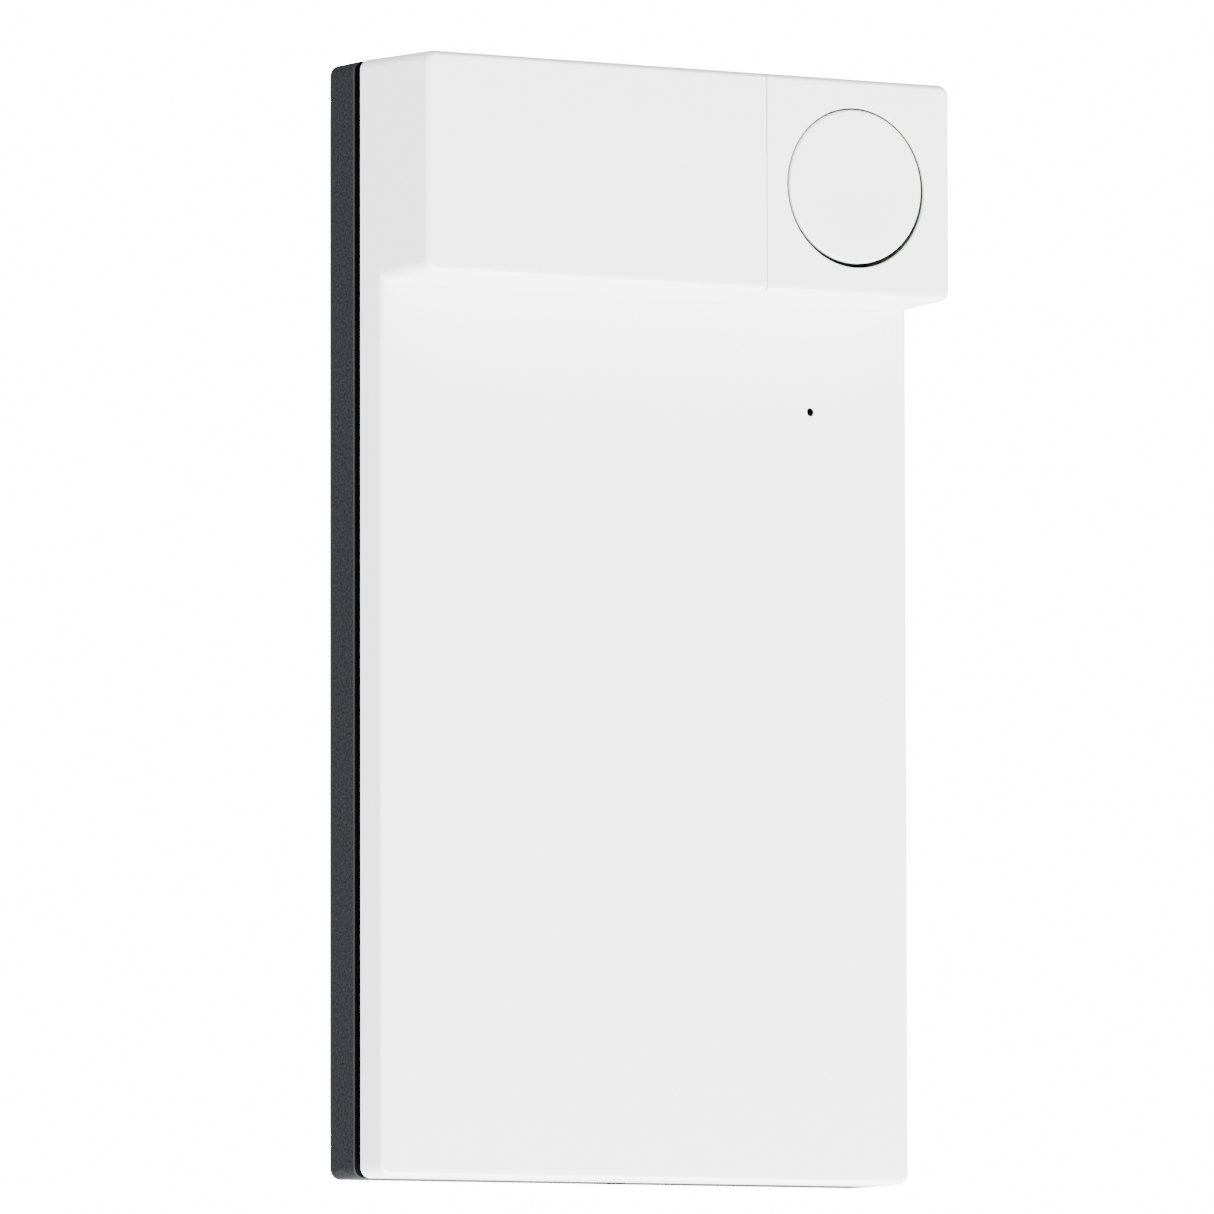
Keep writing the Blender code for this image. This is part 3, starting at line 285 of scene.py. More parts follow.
# A painted highlight lightens a line along the housing's two rims, where their rounded edges catch the
# light. The front rim's face, on which the seal lies, is painted black: painted shade in the shadow gap.
FRONT_HIGHLIGHT, REAR_HIGHLIGHT, RIM_FACE = 0.3 * MM, 0.34 * MM, 0.05 * MM
HIGHLIGHT_STRENGTH = 0.8
rim_tree = anthracite.node_tree
rim_colour = rim_tree.nodes["Principled BSDF"].inputs["Base Color"]
rim_y = along("Y", rim_tree, place_of(rim_tree))
tray_low, tray_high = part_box("rear_housing")
rear_highlight = (rim_y > tray_high.y - REAR_HIGHLIGHT) * (rim_y < tray_high.y - RIM_FACE)
highlight_mask = (rim_y < tray_low.y + FRONT_HIGHLIGHT) + rear_highlight
grained = Wire(rim_tree, rim_colour.links[0].from_socket)
# Painted highlight: a lighter line along both rims.
highlighted = mixed(rim_tree, highlight_mask * HIGHLIGHT_STRENGTH, grained, (0.03, 0.0315, 0.034))
# Painted shade: the front rim's face is painted near black.
mixed(rim_tree, rim_y < tray_low.y + RIM_FACE, highlighted, (0.002, 0.002, 0.0022)).into(rim_colour)

# ---------------------------------------------------------------- seal and cable grommet
# Black rubber: a ring squeezed into the shadow gap behind the cover, and a grommet in the cable
# entry. Both are dull, with a little dust in the pores.

rubber, rubber_tree, rubber_shader = new_finish("black_rubber", roughness=0.8, gloss=0.0)
rubber_place = place_of(rubber_tree)
pores = noise(rubber_tree, rubber_place, scale=2200.0, detail=3.0)
dust = noise(rubber_tree, rubber_place, scale=60.0, detail=4.0)
dusty = mixed(rubber_tree, dust, (0.003, 0.003, 0.0034), (0.0055, 0.0056, 0.0062))
dusty.into(rubber_shader.inputs["Base Color"])
bump(rubber_tree, pores, strength=0.4, distance=0.04 * MM).into(rubber_shader.inputs["Normal"])
settle("housing_seal", rubber)
settle("cable_grommet", rubber)

# ---------------------------------------------------------------- case screws and lock screw
# Zinc-plated pan-head screws with hexagon sockets. Four hold the cover from behind, and the lock
# screw goes up through the housing's lower wall into the plate's tab.

GAP = 0.3 * MM
body_of = {name: body for body, names in frame["record"]["behaviour"]["bodies"].items() for name in names}
slot_of = {part["node"]: part["material_slot"] for part in frame["record"]["subparts"]}


def numbered(name, count):
    """The names of like nodes, which are numbered from one."""
    return [f"{name}_{number}" for number in range(1, count + 1)]


def choose(thing):
    """Makes one object the only selected and active one."""
    bpy.ops.object.select_all(action="DESELECT")
    thing.select_set(True)
    bpy.context.view_layer.objects.active = thing


def change(thing, kind, **settings):
    """Adds one modifier and applies it."""
    choose(thing)
    added = thing.modifiers.new(kind.lower(), kind)
    for name, value in settings.items():
        setattr(added, name, value)
    bpy.ops.object.modifier_apply(modifier=added.name)


def shade(thing, angle=CREASE_DEGREES):
    """Shades flats flat and rounds round."""
    choose(thing)
    bpy.ops.object.shade_smooth_by_angle(angle=math.radians(angle))
    change(thing, "WEIGHTED_NORMAL", keep_sharp=True, weight=80)


def fit(thing, finish, body, slot, *nodes):
    """Gives a finished piece its material and body, and hides the nodes that it stands for. The slot is not
    used.
    """
    thing.data.materials.clear()
    thing.data.materials.append(finish)
    if nodes:
        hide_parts(*nodes)
    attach(thing, body)


FLAT_DEGREES, SHARP_DEGREES = 1, 40


def softened(name, finish, rounding):
    """A node's copy, merged and with its sharp edges rounded, which stands for it."""
    thing = bpy.data.objects.new(name + "_piece", frame["nodes"][name].data.copy())
    bpy.context.collection.objects.link(thing)
    choose(thing)
    bpy.ops.object.mode_set(mode="EDIT")
    bpy.ops.mesh.select_all(action="SELECT")
    bpy.ops.mesh.remove_doubles(threshold=WELD_DISTANCE)
    bpy.ops.mesh.dissolve_limited(angle_limit=math.radians(FLAT_DEGREES))
    bpy.ops.object.mode_set(mode="OBJECT")
    change(thing, "BEVEL", width=rounding, segments=2, limit_method="ANGLE",
           angle_limit=math.radians(SHARP_DEGREES))
    shade(thing)
    fit(thing, finish, body_of[name], slot_of[name], name)


TARNISH, SCRATCH_SWING = 0.7, 0.2


def metal(name, colour, roughness, scratch):
    """Plated or drawn metal, with fine scratches in its gloss and a slight tarnish in its tone."""
    made, tree, shader = new_finish(name, roughness, metallic=1.0)
    place = place_of(tree)
    cloud = noise(tree, place, scale=220.0, detail=4.0)
    fine = noise(tree, place, scratch, detail=3.0)
    dull = tuple(TARNISH * part for part in colour)
    mixed(tree, cloud, dull, colour).into(shader.inputs["Base Color"])
    (fine * SCRATCH_SWING + (roughness - SCRATCH_SWING / 2)).into(shader.inputs["Roughness"])
    bump(tree, fine, strength=0.2, distance=0.01 * MM).into(shader.inputs["Normal"])
    return made


zinc = metal("zinc_plating", (0.58, 0.58, 0.6), roughness=0.36, scratch=2400.0)
SCREW_ROUNDING = 0.12 * MM
case_screws = numbered("case_screw", 4)
softened("lock_screw", zinc, rounding=0.1 * MM)
for name in case_screws:
    softened(name, zinc, SCREW_ROUNDING)

# ---------------------------------------------------------------- circuit board
# Green glass-fibre board with solder mask over fine traces and gilt vias, on four screws in the
# housing's standoffs. Small chip parts are soldered in rows between the larger ones.

COPPER_LEVEL, VIA_RADIUS = 0.52, 0.045
solder_mask, mask_tree, mask_shader = new_finish("solder_mask", roughness=0.35)
mask_place = node(mask_tree, "ShaderNodeMapping", None, {
    "Vector": place_of(mask_tree), "Rotation": (math.pi / 2, 0, 0),
})
traces = 1 - node(mask_tree, "ShaderNodeTexBrick", {"offset": 0.37}, {
    "Vector": mask_place, "Scale": 100.0, "Mortar Size": 0.018, "Mortar Smooth": 0.1,
    "Brick Width": 0.52, "Row Height": 0.11,
}, "Fac")
areas = noise(mask_tree, mask_place, scale=45.0, detail=1.0) > COPPER_LEVEL
vias = node(mask_tree, "ShaderNodeTexVoronoi", {"voronoi_dimensions": "2D"}, {
    "Vector": mask_place, "Scale": 120.0, "Randomness": 0.8,
}) < VIA_RADIUS
copper = traces * areas
masked = mixed(mask_tree, copper, (0.0025, 0.024, 0.010), (0.006, 0.048, 0.02))
mixed(mask_tree, vias, masked, (0.62, 0.44, 0.17)).into(mask_shader.inputs["Base Color"])
(vias * 1.0).into(mask_shader.inputs["Metallic"])
bump(mask_tree, copper - vias, strength=0.5, distance=0.03 * MM).into(mask_shader.inputs["Normal"])
settle("main_board", solder_mask)
for name in numbered("board_screw", 4):
    softened(name, zinc, SCREW_ROUNDING)

y_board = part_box("main_board")[0].y


def named(thing, name):
    """Names a new piece and puts its place and turn in its mesh."""
    thing.name = name
    bpy.ops.object.transform_apply(location=True, rotation=True, scale=True)
    return thing


def add_box(name, low, high):
    """A box between two corners."""
    low, high = Vector(low), Vector(high)
    bpy.ops.object.select_all(action="DESELECT")
    bpy.ops.mesh.primitive_cube_add(size=1, location=(low + high) / 2, scale=high - low)
    return named(bpy.context.object, name)


def add_round(name, centre, radius, y_back, y_front, sides=48):
    """A cylinder along Y; centre is X and Z."""
    bpy.ops.object.select_all(action="DESELECT")
    bpy.ops.mesh.primitive_cylinder_add(
        vertices=sides, radius=radius, depth=abs(y_back - y_front),
        location=(centre[0], (y_back + y_front) / 2, centre[1]), rotation=(math.pi / 2, 0, 0),
    )
    return named(bpy.context.object, name)


def joined(name, pieces):
    """Makes one piece of several."""
    choose(pieces[0])
    for piece in pieces:
        piece.select_set(True)
    bpy.ops.object.join()
    bpy.context.object.name = name
    return bpy.context.object


def repeated(name, thing, shifts):
    """Makes one piece of a copy of the thing at every shift."""
    copies = []
    for shift in shifts:
        copy = bpy.data.objects.new(name, thing.data.copy())
        copy.data.transform(Matrix.Translation(shift))
        bpy.context.collection.objects.link(copy)
        copies.append(copy)
    bpy.data.objects.remove(thing, do_unlink=True)
    return joined(name, copies)


def grid(x, z, columns, rows, x_pitch, z_pitch):
    """The shifts of chip parts that stand in columns and rows on the board."""
    steps = [(column, row) for column in range(columns) for row in range(rows)]
    return [Vector((x + x_pitch * column, 0, z + z_pitch * row)) for column, row in steps]


CHIP_LONG, CHIP_WIDE, CHIP_HIGH, CHIP_END = 1.6 * MM, 0.8 * MM, 0.55 * MM, 0.3 * MM
PROUD, CORE_LIFT, SOLDER_LIFT = 0.03 * MM, 0.03 * MM, 0.01 * MM
chip_places = grid(-30 * MM, 8 * MM, 4, 5, 3.4 * MM, 3.2 * MM)
chip_places += grid(18 * MM, 2 * MM, 4, 3, 3.6 * MM, 4.1 * MM)
chip_places += grid(-8 * MM, 30 * MM, 5, 1, 4.4 * MM, 0)
half_core, half_wide, y_chip = (CHIP_LONG - CHIP_END) / 2, CHIP_WIDE / 2, y_board - CHIP_HIGH
core = add_box("core", (-half_core, y_chip, -half_wide), (half_core, y_board - CORE_LIFT, half_wide))
tips = []
for x in (-half_core, half_core):
    tips.append(add_box("tip", (x - CHIP_END / 2, y_chip - PROUD, -half_wide - PROUD),
                        (x + CHIP_END / 2, y_board - SOLDER_LIFT, half_wide + PROUD)))
ceramic = moulded(
    "tan_ceramic", (0.17, 0.10, 0.055), (0.24, 0.15, 0.085), roughness=0.45, gloss=0.5, grain=4000.0,
    depth=0.01 * MM,
)
for name, thing, finish, slot in (
    ("chip_part_cores", core, ceramic, "white_plastic"),
    ("chip_part_ends", joined("tips", tips), zinc, "plated_steel"),
):
    change(thing, "BEVEL", width=0.06 * MM, segments=2)
    thing = repeated(name, thing, chip_places)
    shade(thing)
    fit(thing, finish, "housing", slot)

# ---------------------------------------------------------------- switch and lamps
# A square tactile switch under the button's stem, and two surface-mounted lamps under the light
# ring, each with a yellow phosphor window in a white cup.

black = moulded(
    "black_moulding", (0.003, 0.003, 0.0035), (0.008, 0.008, 0.0085), roughness=0.55, gloss=0.2,
    grain=3000.0, depth=0.03 * MM,
)
pale = moulded(
    "pale_moulding", (0.62, 0.61, 0.58), (0.7, 0.69, 0.66), roughness=0.4, gloss=0.5, grain=1800.0,
    depth=0.02 * MM,
)
softened("switch_body", black, rounding=0.15 * MM)
softened("switch_plunger", pale, rounding=0.15 * MM)
phosphor, phosphor_tree, phosphor_shader = new_finish("phosphor", roughness=0.3)
powder = noise(phosphor_tree, place_of(phosphor_tree), scale=3000.0)
yellow = mixed(phosphor_tree, powder, (0.42, 0.26, 0.02), (0.52, 0.36, 0.04))
yellow.into(phosphor_shader.inputs["Base Color"])


def face_centre(name):
    """The middle of a node as seen from the front, in X and Z."""
    low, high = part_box(name)
    return (low.x + high.x) / 2, (low.z + high.z) / 2


SMALL_SIDES = 32
WINDOW_RADIUS, WINDOW_BACK, WINDOW_FRONT = 0.94 * MM, 0.36 * MM, 0.08 * MM
lamps = numbered("lamp", 2)
for lamp_name, window_name in zip(lamps, numbered("lamp_window", 2)):
    softened(lamp_name, pale, rounding=0.1 * MM)
    y_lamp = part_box(lamp_name)[0].y
    window = add_round(window_name, face_centre(lamp_name), WINDOW_RADIUS, y_lamp + WINDOW_BACK,
                       y_lamp + WINDOW_FRONT, SMALL_SIDES)
    change(window, "BEVEL", width=0.06 * MM, segments=2, limit_method="ANGLE")
    shade(window)
    fit(window, phosphor, "housing", "light_guide")

# ---------------------------------------------------------------- microphone
# Electret capsule in a drawn aluminium can, held by a rubber boot that seals it against the hole in
# the cover.

aluminium = metal("drawn_aluminium", (0.72, 0.73, 0.75), roughness=0.3, scratch=900.0)
softened("microphone", aluminium, rounding=0.18 * MM)
softened("microphone_boot", rubber, rounding=0.15 * MM)

# ---------------------------------------------------------------- terminal block
# Green moulded block with four clamp screws, for the supply pair and the door-opener pair. The
# wires enter from below.

terminal_green = moulded(
    "terminal_green", (0.008, 0.095, 0.032), (0.014, 0.125, 0.045), roughness=0.42, gloss=0.5,
    grain=1700.0, depth=0.02 * MM,
)
softened("terminal_block", terminal_green, rounding=0.12 * MM)
for name in numbered("terminal_screw", 4):
    softened(name, zinc, rounding=0.08 * MM)

# ---------------------------------------------------------------- relay, coil and capacitors
# The tall parts stand in the head: a sealed relay in black plastic and two electrolytic cans with
# a beaded foot. The power coil is a black moulded inductor under the main panel.

softened("door_relay", black, rounding=0.3 * MM)
softened("power_coil", black, rounding=0.3 * MM)
TOP_BAND, SCORE_HALF, STRIPE_FROM = 0.25 * MM, 0.12 * MM, 3.4 * MM
can, can_tree, can_shader = new_finish("capacitor_can", roughness=0.35)
can_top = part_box("capacitor_1")[0].y
can_middle = face_centre("capacitor_1")[0]
can_place = place_of(can_tree)
can_x, can_y = along("X", can_tree, can_place), along("Y", can_tree, can_place)
is_top = can_y < can_top + TOP_BAND
score = (can_x > can_middle - SCORE_HALF) * (can_x < can_middle + SCORE_HALF) * is_top
stripe = (can_x < can_middle - STRIPE_FROM) * (1 - is_top)
sleeve_tone = mixed(can_tree, stripe, (0.008, 0.010, 0.018), (0.42, 0.43, 0.45))
cloudy_can = noise(can_tree, can_place, scale=500.0, detail=3.0)
can_metal = mixed(can_tree, cloudy_can, (0.5, 0.51, 0.53), (0.68, 0.69, 0.71))
mixed(can_tree, is_top, sleeve_tone, can_metal).into(can_shader.inputs["Base Color"])
(is_top * 1.0).into(can_shader.inputs["Metallic"])
bump(can_tree, 1 - score, strength=0.8, distance=0.1 * MM).into(can_shader.inputs["Normal"])
for name in numbered("capacitor", 2):
    softened(name, can, rounding=0.35 * MM)

# ---------------------------------------------------------------- shielded processor and audio chip
# A stamped tinned can with rows of vent dimples covers the processor; the dimples are painted near
# black as painted shade. The audio chip has eight formed legs on each side.

DIMPLE_RADIUS, TIN_GLOSS, TIN_SWING = 0.2, 0.2, 0.25
tin, tin_tree, tin_shader = new_finish("stamped_tin", roughness=0.3, metallic=1.0)
tin_place = node(tin_tree, "ShaderNodeMapping", None, {
    "Vector": place_of(tin_tree), "Rotation": (math.pi / 2, 0, 0),
})
dimples = node(tin_tree, "ShaderNodeTexVoronoi", {"voronoi_dimensions": "2D"}, {
    "Vector": tin_place, "Scale": 400.0, "Randomness": 0.0,
}) < DIMPLE_RADIUS
# Painted shade: the dimples are painted near black.
mixed(tin_tree, dimples, (0.58, 0.58, 0.57), (0.05, 0.05, 0.05)).into(tin_shader.inputs["Base Color"])
rolled = noise(tin_tree, tin_place, scale=700.0, detail=3.0)
(rolled * TIN_SWING + TIN_GLOSS).into(tin_shader.inputs["Roughness"])
bump(tin_tree, 1 - dimples, strength=0.6, distance=0.15 * MM).into(tin_shader.inputs["Normal"])
softened("processor_shield", tin, rounding=0.3 * MM)
softened("audio_chip", black, rounding=0.08 * MM)
LEGS, LEG_WIDTH, LEG_REACH, LEG_METAL = 8, 0.32 * MM, 0.9 * MM, 0.14 * MM
chip_low, chip_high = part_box("audio_chip")
leg_pitch = (chip_high.z - chip_low.z) / LEGS
leg_places = [Vector((0, 0, chip_low.z + leg_pitch * (number + 0.5))) for number in range(LEGS)]
y_leg = (chip_low.y + chip_high.y) / 2
legs = []
for x_wall, side in ((chip_low.x, -1), (chip_high.x, 1)):
    x_knee, x_toe = x_wall + side * LEG_REACH / 2, x_wall + side * LEG_REACH
    strips = (
        (x_wall, x_knee, y_leg - LEG_METAL, y_leg),
        (x_knee, x_knee + side * LEG_METAL, y_leg - LEG_METAL, y_board),
        (x_knee, x_toe, y_board - LEG_METAL, y_board - SOLDER_LIFT),
    )
    for x0, x1, y0, y1 in strips:
        strip = add_box("strip", (min(x0, x1), y0, -LEG_WIDTH / 2), (max(x0, x1), y1, LEG_WIDTH / 2))
        legs.append(repeated("leg_row", strip, leg_places))
chip_legs = joined("audio_chip_legs", legs)
change(chip_legs, "BEVEL", width=0.03 * MM, segments=1)
shade(chip_legs)
fit(chip_legs, zinc, "housing", "plated_steel")

# ---------------------------------------------------------------- loudspeaker
# Flat speaker that sounds through the slots in the housing's lower wall: a plated steel basket on
# two screws, a black magnet, a pressed paper cone that moves, a foam gasket and a lead with a plug.

softened("speaker_basket", zinc, rounding=0.15 * MM)
softened("speaker_magnet", black, rounding=0.3 * MM)
for name in numbered("speaker_screw", 2):
    softened(name, zinc, SCREW_ROUNDING)
paper, paper_tree, paper_shader = new_finish("pressed_paper", roughness=0.9, gloss=0.1)
paper_place = place_of(paper_tree)
fibres = noise(paper_tree, paper_place, scale=1400.0, detail=5.0)
pressed = mixed(paper_tree, fibres, (0.005, 0.005, 0.005), (0.02, 0.0195, 0.0185))
pressed.into(paper_shader.inputs["Base Color"])
bump(paper_tree, fibres, strength=0.6, distance=0.08 * MM).into(paper_shader.inputs["Normal"])
settle("speaker_cone", paper)
foam = moulded(
    "gasket_foam", (0.004, 0.004, 0.004), (0.02, 0.02, 0.02), roughness=0.9, gloss=0.1, grain=1600.0,
    depth=0.15 * MM, strength=0.9,
)
softened("speaker_gasket", foam, rounding=0.25 * MM)
softened("speaker_socket", pale, rounding=0.15 * MM)
lead, lead_tree, lead_shader = new_finish("lead_sleeve", roughness=0.5, gloss=0.4)
scuffs = noise(lead_tree, place_of(lead_tree), scale=500.0)
mixed(lead_tree, scuffs, (0.015, 0.015, 0.016), (0.035, 0.035, 0.037)).into(lead_shader.inputs["Base Color"])
settle("speaker_lead", lead)

# ---------------------------------------------------------------- front cover
# White satin moulding with a wall of 2.2 mm: a flat main panel, and across its top the left part
# of a raised head. Every outer edge is rounded, and the sides lean in, so that the moulding leaves
# its tool.

DRAFT = math.tan(math.radians(1.6))
CORNER_RADIUS = 1.8 * MM
FRONT_FILLET = 0.8 * MM
HEAD_FILLET = 0.95 * MM
SEAM_FILLET = 0.24 * MM
SEAM_HALF = 0.09 * MM
WALL = 2.2 * MM
HEAD_STEP_IN, HEAD_SINK = 0.01 * MM, 2 * MM
HOLLOW_PAST = 5 * MM
NEAR = 0.001 * MM
SQUARE = 0.99

block_low, block_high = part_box("button_block")
cover_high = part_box("front_cover")[1]
half_x, half_z = cover_high.x, cover_high.z
cap_low, cap_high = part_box("button_cap")
y_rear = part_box("housing_seal")[0].y - GAP
y_main = block_high.y + GAP
y_head = block_low.y
x_seam = block_low.x - GAP / 2
z_root = block_low.z
ring_low, ring_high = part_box("light_ring")
button_x = (ring_low.x + ring_high.x) / 2
pin_low, pin_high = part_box("hinge_pin")
hinge_y, hinge_z = (pin_low.y + pin_high.y) / 2, (pin_low.z + pin_high.z) / 2


def pick(thing, kind, wanted):
    """Opens a piece in edit mode with just its wanted faces or edges selected, and counts them."""
    choose(thing)
    bpy.ops.object.mode_set(mode="EDIT")
    bpy.ops.mesh.select_mode(type={"faces": "FACE", "edges": "EDGE"}[kind])
    bpy.ops.mesh.select_all(action="DESELECT")
    shape = bmesh.from_edit_mesh(thing.data)
    count = 0
    for element in getattr(shape, kind):
        if wanted(element):
            element.select_set(True)
            count += 1
    shape.select_flush_mode()
    bmesh.update_edit_mesh(thing.data)
    return count


def done():
    bpy.ops.object.mode_set(mode="OBJECT")


def middle_of(edge):
    return (edge.verts[0].co + edge.verts[1].co) / 2


def run_of(edge):
    return (edge.verts[1].co - edge.verts[0].co).normalized()


def all_at(edge, y):
    """Whether an edge lies at a level."""
    return all(abs(point.co.y - y) < NEAR for point in edge.verts)


def off_axis(point, centre):
    """A point's distance from an axis along Y, whose place is X and Z."""
    return math.dist((point.co.x, point.co.z), centre)


def round_edges(thing, wanted, radius, steps):
    """Rounds the wanted edges, if the piece has any."""
    if pick(thing, "edges", wanted):
        bpy.ops.mesh.bevel(offset=radius, segments=steps, profile=0.5, affect="EDGES")
    done()


def combined(thing, tool, operation):
    """Cuts a tool from a piece or joins it on; the tool is used up."""
    change(thing, "BOOLEAN", object=tool, operation=operation, solver="EXACT")
    bpy.data.objects.remove(tool, do_unlink=True)


def carve(thing, tool):
    combined(thing, tool, "DIFFERENCE")


def fuse(thing, tool):
    combined(thing, tool, "UNION")


def is_front(face):
    return face.normal.y < -SQUARE


def is_back(face):
    return face.normal.y > SQUARE


CORNER_STEPS, FILLET_STEPS, RIM_STEPS = 14, 8, 3


def drawn_block(name, section, y_back, y_front, corners, radii):
    """A drafted block; section gives its rectangle at a level, as (x0, x1, z0, z1).

    corners are the outline's rounded ones, as signs of X and Z; radii gives each side's fillet.
    """
    rear, front = section(y_back), section(y_front)
    block = add_box(name, (rear[0], y_front, rear[2]), (rear[1], y_back, rear[3]))
    pick(block, "faces", is_front)
    centre = Vector(((rear[0] + rear[1]) / 2, y_front, (rear[2] + rear[3]) / 2))
    narrower = (front[1] - front[0]) / (rear[1] - rear[0])
    lower = (front[3] - front[2]) / (rear[3] - rear[2])
    bpy.ops.transform.resize(value=(narrower, 1, lower), center_override=centre)
    shift = ((front[0] + front[1]) / 2 - centre.x, 0, (front[2] + front[3]) / 2 - centre.z)
    bpy.ops.transform.translate(value=shift)
    done()

    def is_outline(edge):
        off = middle_of(edge) - centre
        return abs(run_of(edge).y) > 0.9 and (math.copysign(1, off.x), math.copysign(1, off.z)) in corners

    def side_of(edge):
        """The side that a front edge belongs to; a rounded corner goes with the left or right."""
        spot = middle_of(edge)
        if abs(run_of(edge).x) > SQUARE:
            return "top" if spot.z > centre.z else "bottom"
        return "right" if spot.x > centre.x else "left"

    round_edges(block, is_outline, CORNER_RADIUS, CORNER_STEPS)
    for radius in sorted(set(radii.values()), reverse=True):
        round_edges(block, lambda edge: all_at(edge, y_front) and radii[side_of(edge)] == radius, radius,
                    FILLET_STEPS)
    return block


def inset_at(y):
    """How far the cover's sides have drawn in at a level, from its rear edge."""
    return (y_rear - y) * DRAFT


def cover_section(y):
    """The main panel's rectangle at a level."""
    draw = inset_at(y)
    return -half_x + draw, half_x - draw, -half_z + draw, half_z - draw


def head_section(y):
    """The rectangle of the head's left part at a level."""
    draw = inset_at(y) + HEAD_STEP_IN
    return -half_x + draw, x_seam - SEAM_HALF, z_root + (y_main - y) * DRAFT, half_z - draw


white = moulded(
    "white_moulding", (0.775, 0.778, 0.785), (0.80, 0.802, 0.808), roughness=0.32, gloss=0.5,
    grain=1500.0, depth=0.012 * MM, strength=0.35,
)
cover = drawn_block(
    "cover_moulding", cover_section, y_rear, y_main, {(-1, -1), (-1, 1), (1, -1), (1, 1)},
    {"left": FRONT_FILLET, "right": FRONT_FILLET, "top": FRONT_FILLET, "bottom": FRONT_FILLET},
)
head = drawn_block(
    "head_left", head_section, y_rear - HEAD_SINK, y_head, {(-1, -1), (-1, 1)},
    {"left": HEAD_FILLET, "right": SEAM_FILLET, "top": HEAD_FILLET, "bottom": HEAD_FILLET},
)
fuse(cover, head)
inner_x, inner_z = half_x - WALL, half_z - WALL
carve(cover, add_box("cover_hollow", (-inner_x, y_main + WALL, -inner_z),
                     (inner_x, y_rear + HOLLOW_PAST, inner_z)))
head_draw = inset_at(y_head)
head_floor = z_root + WALL + (y_main - y_head) * DRAFT
carve(cover, add_box("head_hollow", (-inner_x + head_draw, y_head + WALL, head_floor),
                     (x_seam - GAP / 2 - WALL, y_main + WALL + MM, inner_z - head_draw)))

BOSS_RADIUS, BOSS_HOLE_RADIUS = 3.0 * MM, 1.55 * MM
BOSS_SINK, BOSS_FLOOR = 0.8 * MM, 0.5 * MM
for x, z in (face_centre(name) for name in case_screws):
    y_wall = WALL + (y_head if x < 0 and z > 0 else y_main)
    fuse(cover, add_round("boss", (x, z), BOSS_RADIUS, cover_high.y, y_wall - BOSS_SINK))
    carve(cover, add_round("boss_hole", (x, z), BOSS_HOLE_RADIUS, 0, y_main + WALL + BOSS_FLOOR))

MICROPHONE_HOLE_RADIUS, STEM_HOLE_RADIUS, LIGHT_WINDOW_RADIUS = 0.7 * MM, 3.2 * MM, 2.0 * MM
STEM_HOLE_RISE = 0.2 * MM
microphone_place = face_centre("microphone_boot")
block_screws = numbered("block_screw", 2)
button_z = (ring_high.x - ring_low.x) / 2 + ring_low.z
stem_place = (button_x, button_z + STEM_HOLE_RISE)
holes = [(microphone_place, MICROPHONE_HOLE_RADIUS), (stem_place, STEM_HOLE_RADIUS)]
holes += [(face_centre(name), LIGHT_WINDOW_RADIUS) for name in lamps]
holes += [(face_centre(name), BOSS_HOLE_RADIUS) for name in block_screws]
for place, radius in holes:
    carve(cover, add_round("hole", place, radius, y_rear, y_head))

RIM_BAND, HOLE_BAND = 0.1 * MM, 0.05 * MM


def is_microphone_rim(edge):
    reach = MICROPHONE_HOLE_RADIUS + HOLE_BAND
    return all_at(edge, y_main) and all(off_axis(point, microphone_place) < reach for point in edge.verts)


def is_rear_rim(edge):
    """Whether an edge lies on the outline of the cover's rear, corners included."""
    def is_outer(x, z):
        in_corner = x > half_x - CORNER_RADIUS and z > half_z - CORNER_RADIUS
        return in_corner or x > half_x - RIM_BAND or z > half_z - RIM_BAND

    return all_at(edge, y_rear) and all(is_outer(abs(point.co.x), abs(point.co.z)) for point in edge.verts)


round_edges(cover, is_microphone_rim, 0.16 * MM, RIM_STEPS)
round_edges(cover, is_rear_rim, 0.09 * MM, RIM_STEPS)
shade(cover)
fit(cover, white, "cover", "white_plastic", "front_cover")

# ---------------------------------------------------------------- shade cup in the microphone hole
# A soft black cup stands in the cover's microphone hole, a little behind its rim, with a closed back. It
# is painted shade, which makes the hole read dark.

SLEEVE_BACK, SLEEVE_WALL, SLEEVE_GAP = 0.35 * MM, 0.06 * MM, 0.01 * MM
# A dark cup put in the hole as painted shade.
shade_cup = add_round("microphone_shade_cup", microphone_place, MICROPHONE_HOLE_RADIUS - SLEEVE_GAP, y_main + WALL,
                   y_main + SLEEVE_BACK, SMALL_SIDES)
pick(shade_cup, "faces", is_front)
bpy.ops.mesh.inset(thickness=SLEEVE_WALL, depth=0)
bpy.ops.mesh.extrude_region_move()
bpy.ops.transform.translate(value=(0, WALL - 2 * SLEEVE_BACK, 0))
done()
shade(shade_cup)
fit(shade_cup, rubber, "cover", "black_rubber")

# ---------------------------------------------------------------- button block
# Square white cap that closes the right end of the head behind a fine seam. It carries the two ears
# of the hinge and the button's round hole, whose lower edge shows a dark greenish liner: painted shade
# in the gap, tinted like the light guide. Two screws hold it from inside.

BLOCK_WALL = 2.0 * MM
BLOCK_LIFT = 0.02 * MM
BUTTON_RADIUS = button_x - cap_low.x
HOLE_RADIUS = BUTTON_RADIUS + 0.52 * MM
HOLE_DROP = 0.22 * MM
hole_centre = (button_x, button_z - HOLE_DROP)


def block_section(y):
    """The block's rectangle at a level."""
    draw = inset_at(y)
    return x_seam + SEAM_HALF, half_x - draw, z_root + (y_main - y) * DRAFT, half_z - draw


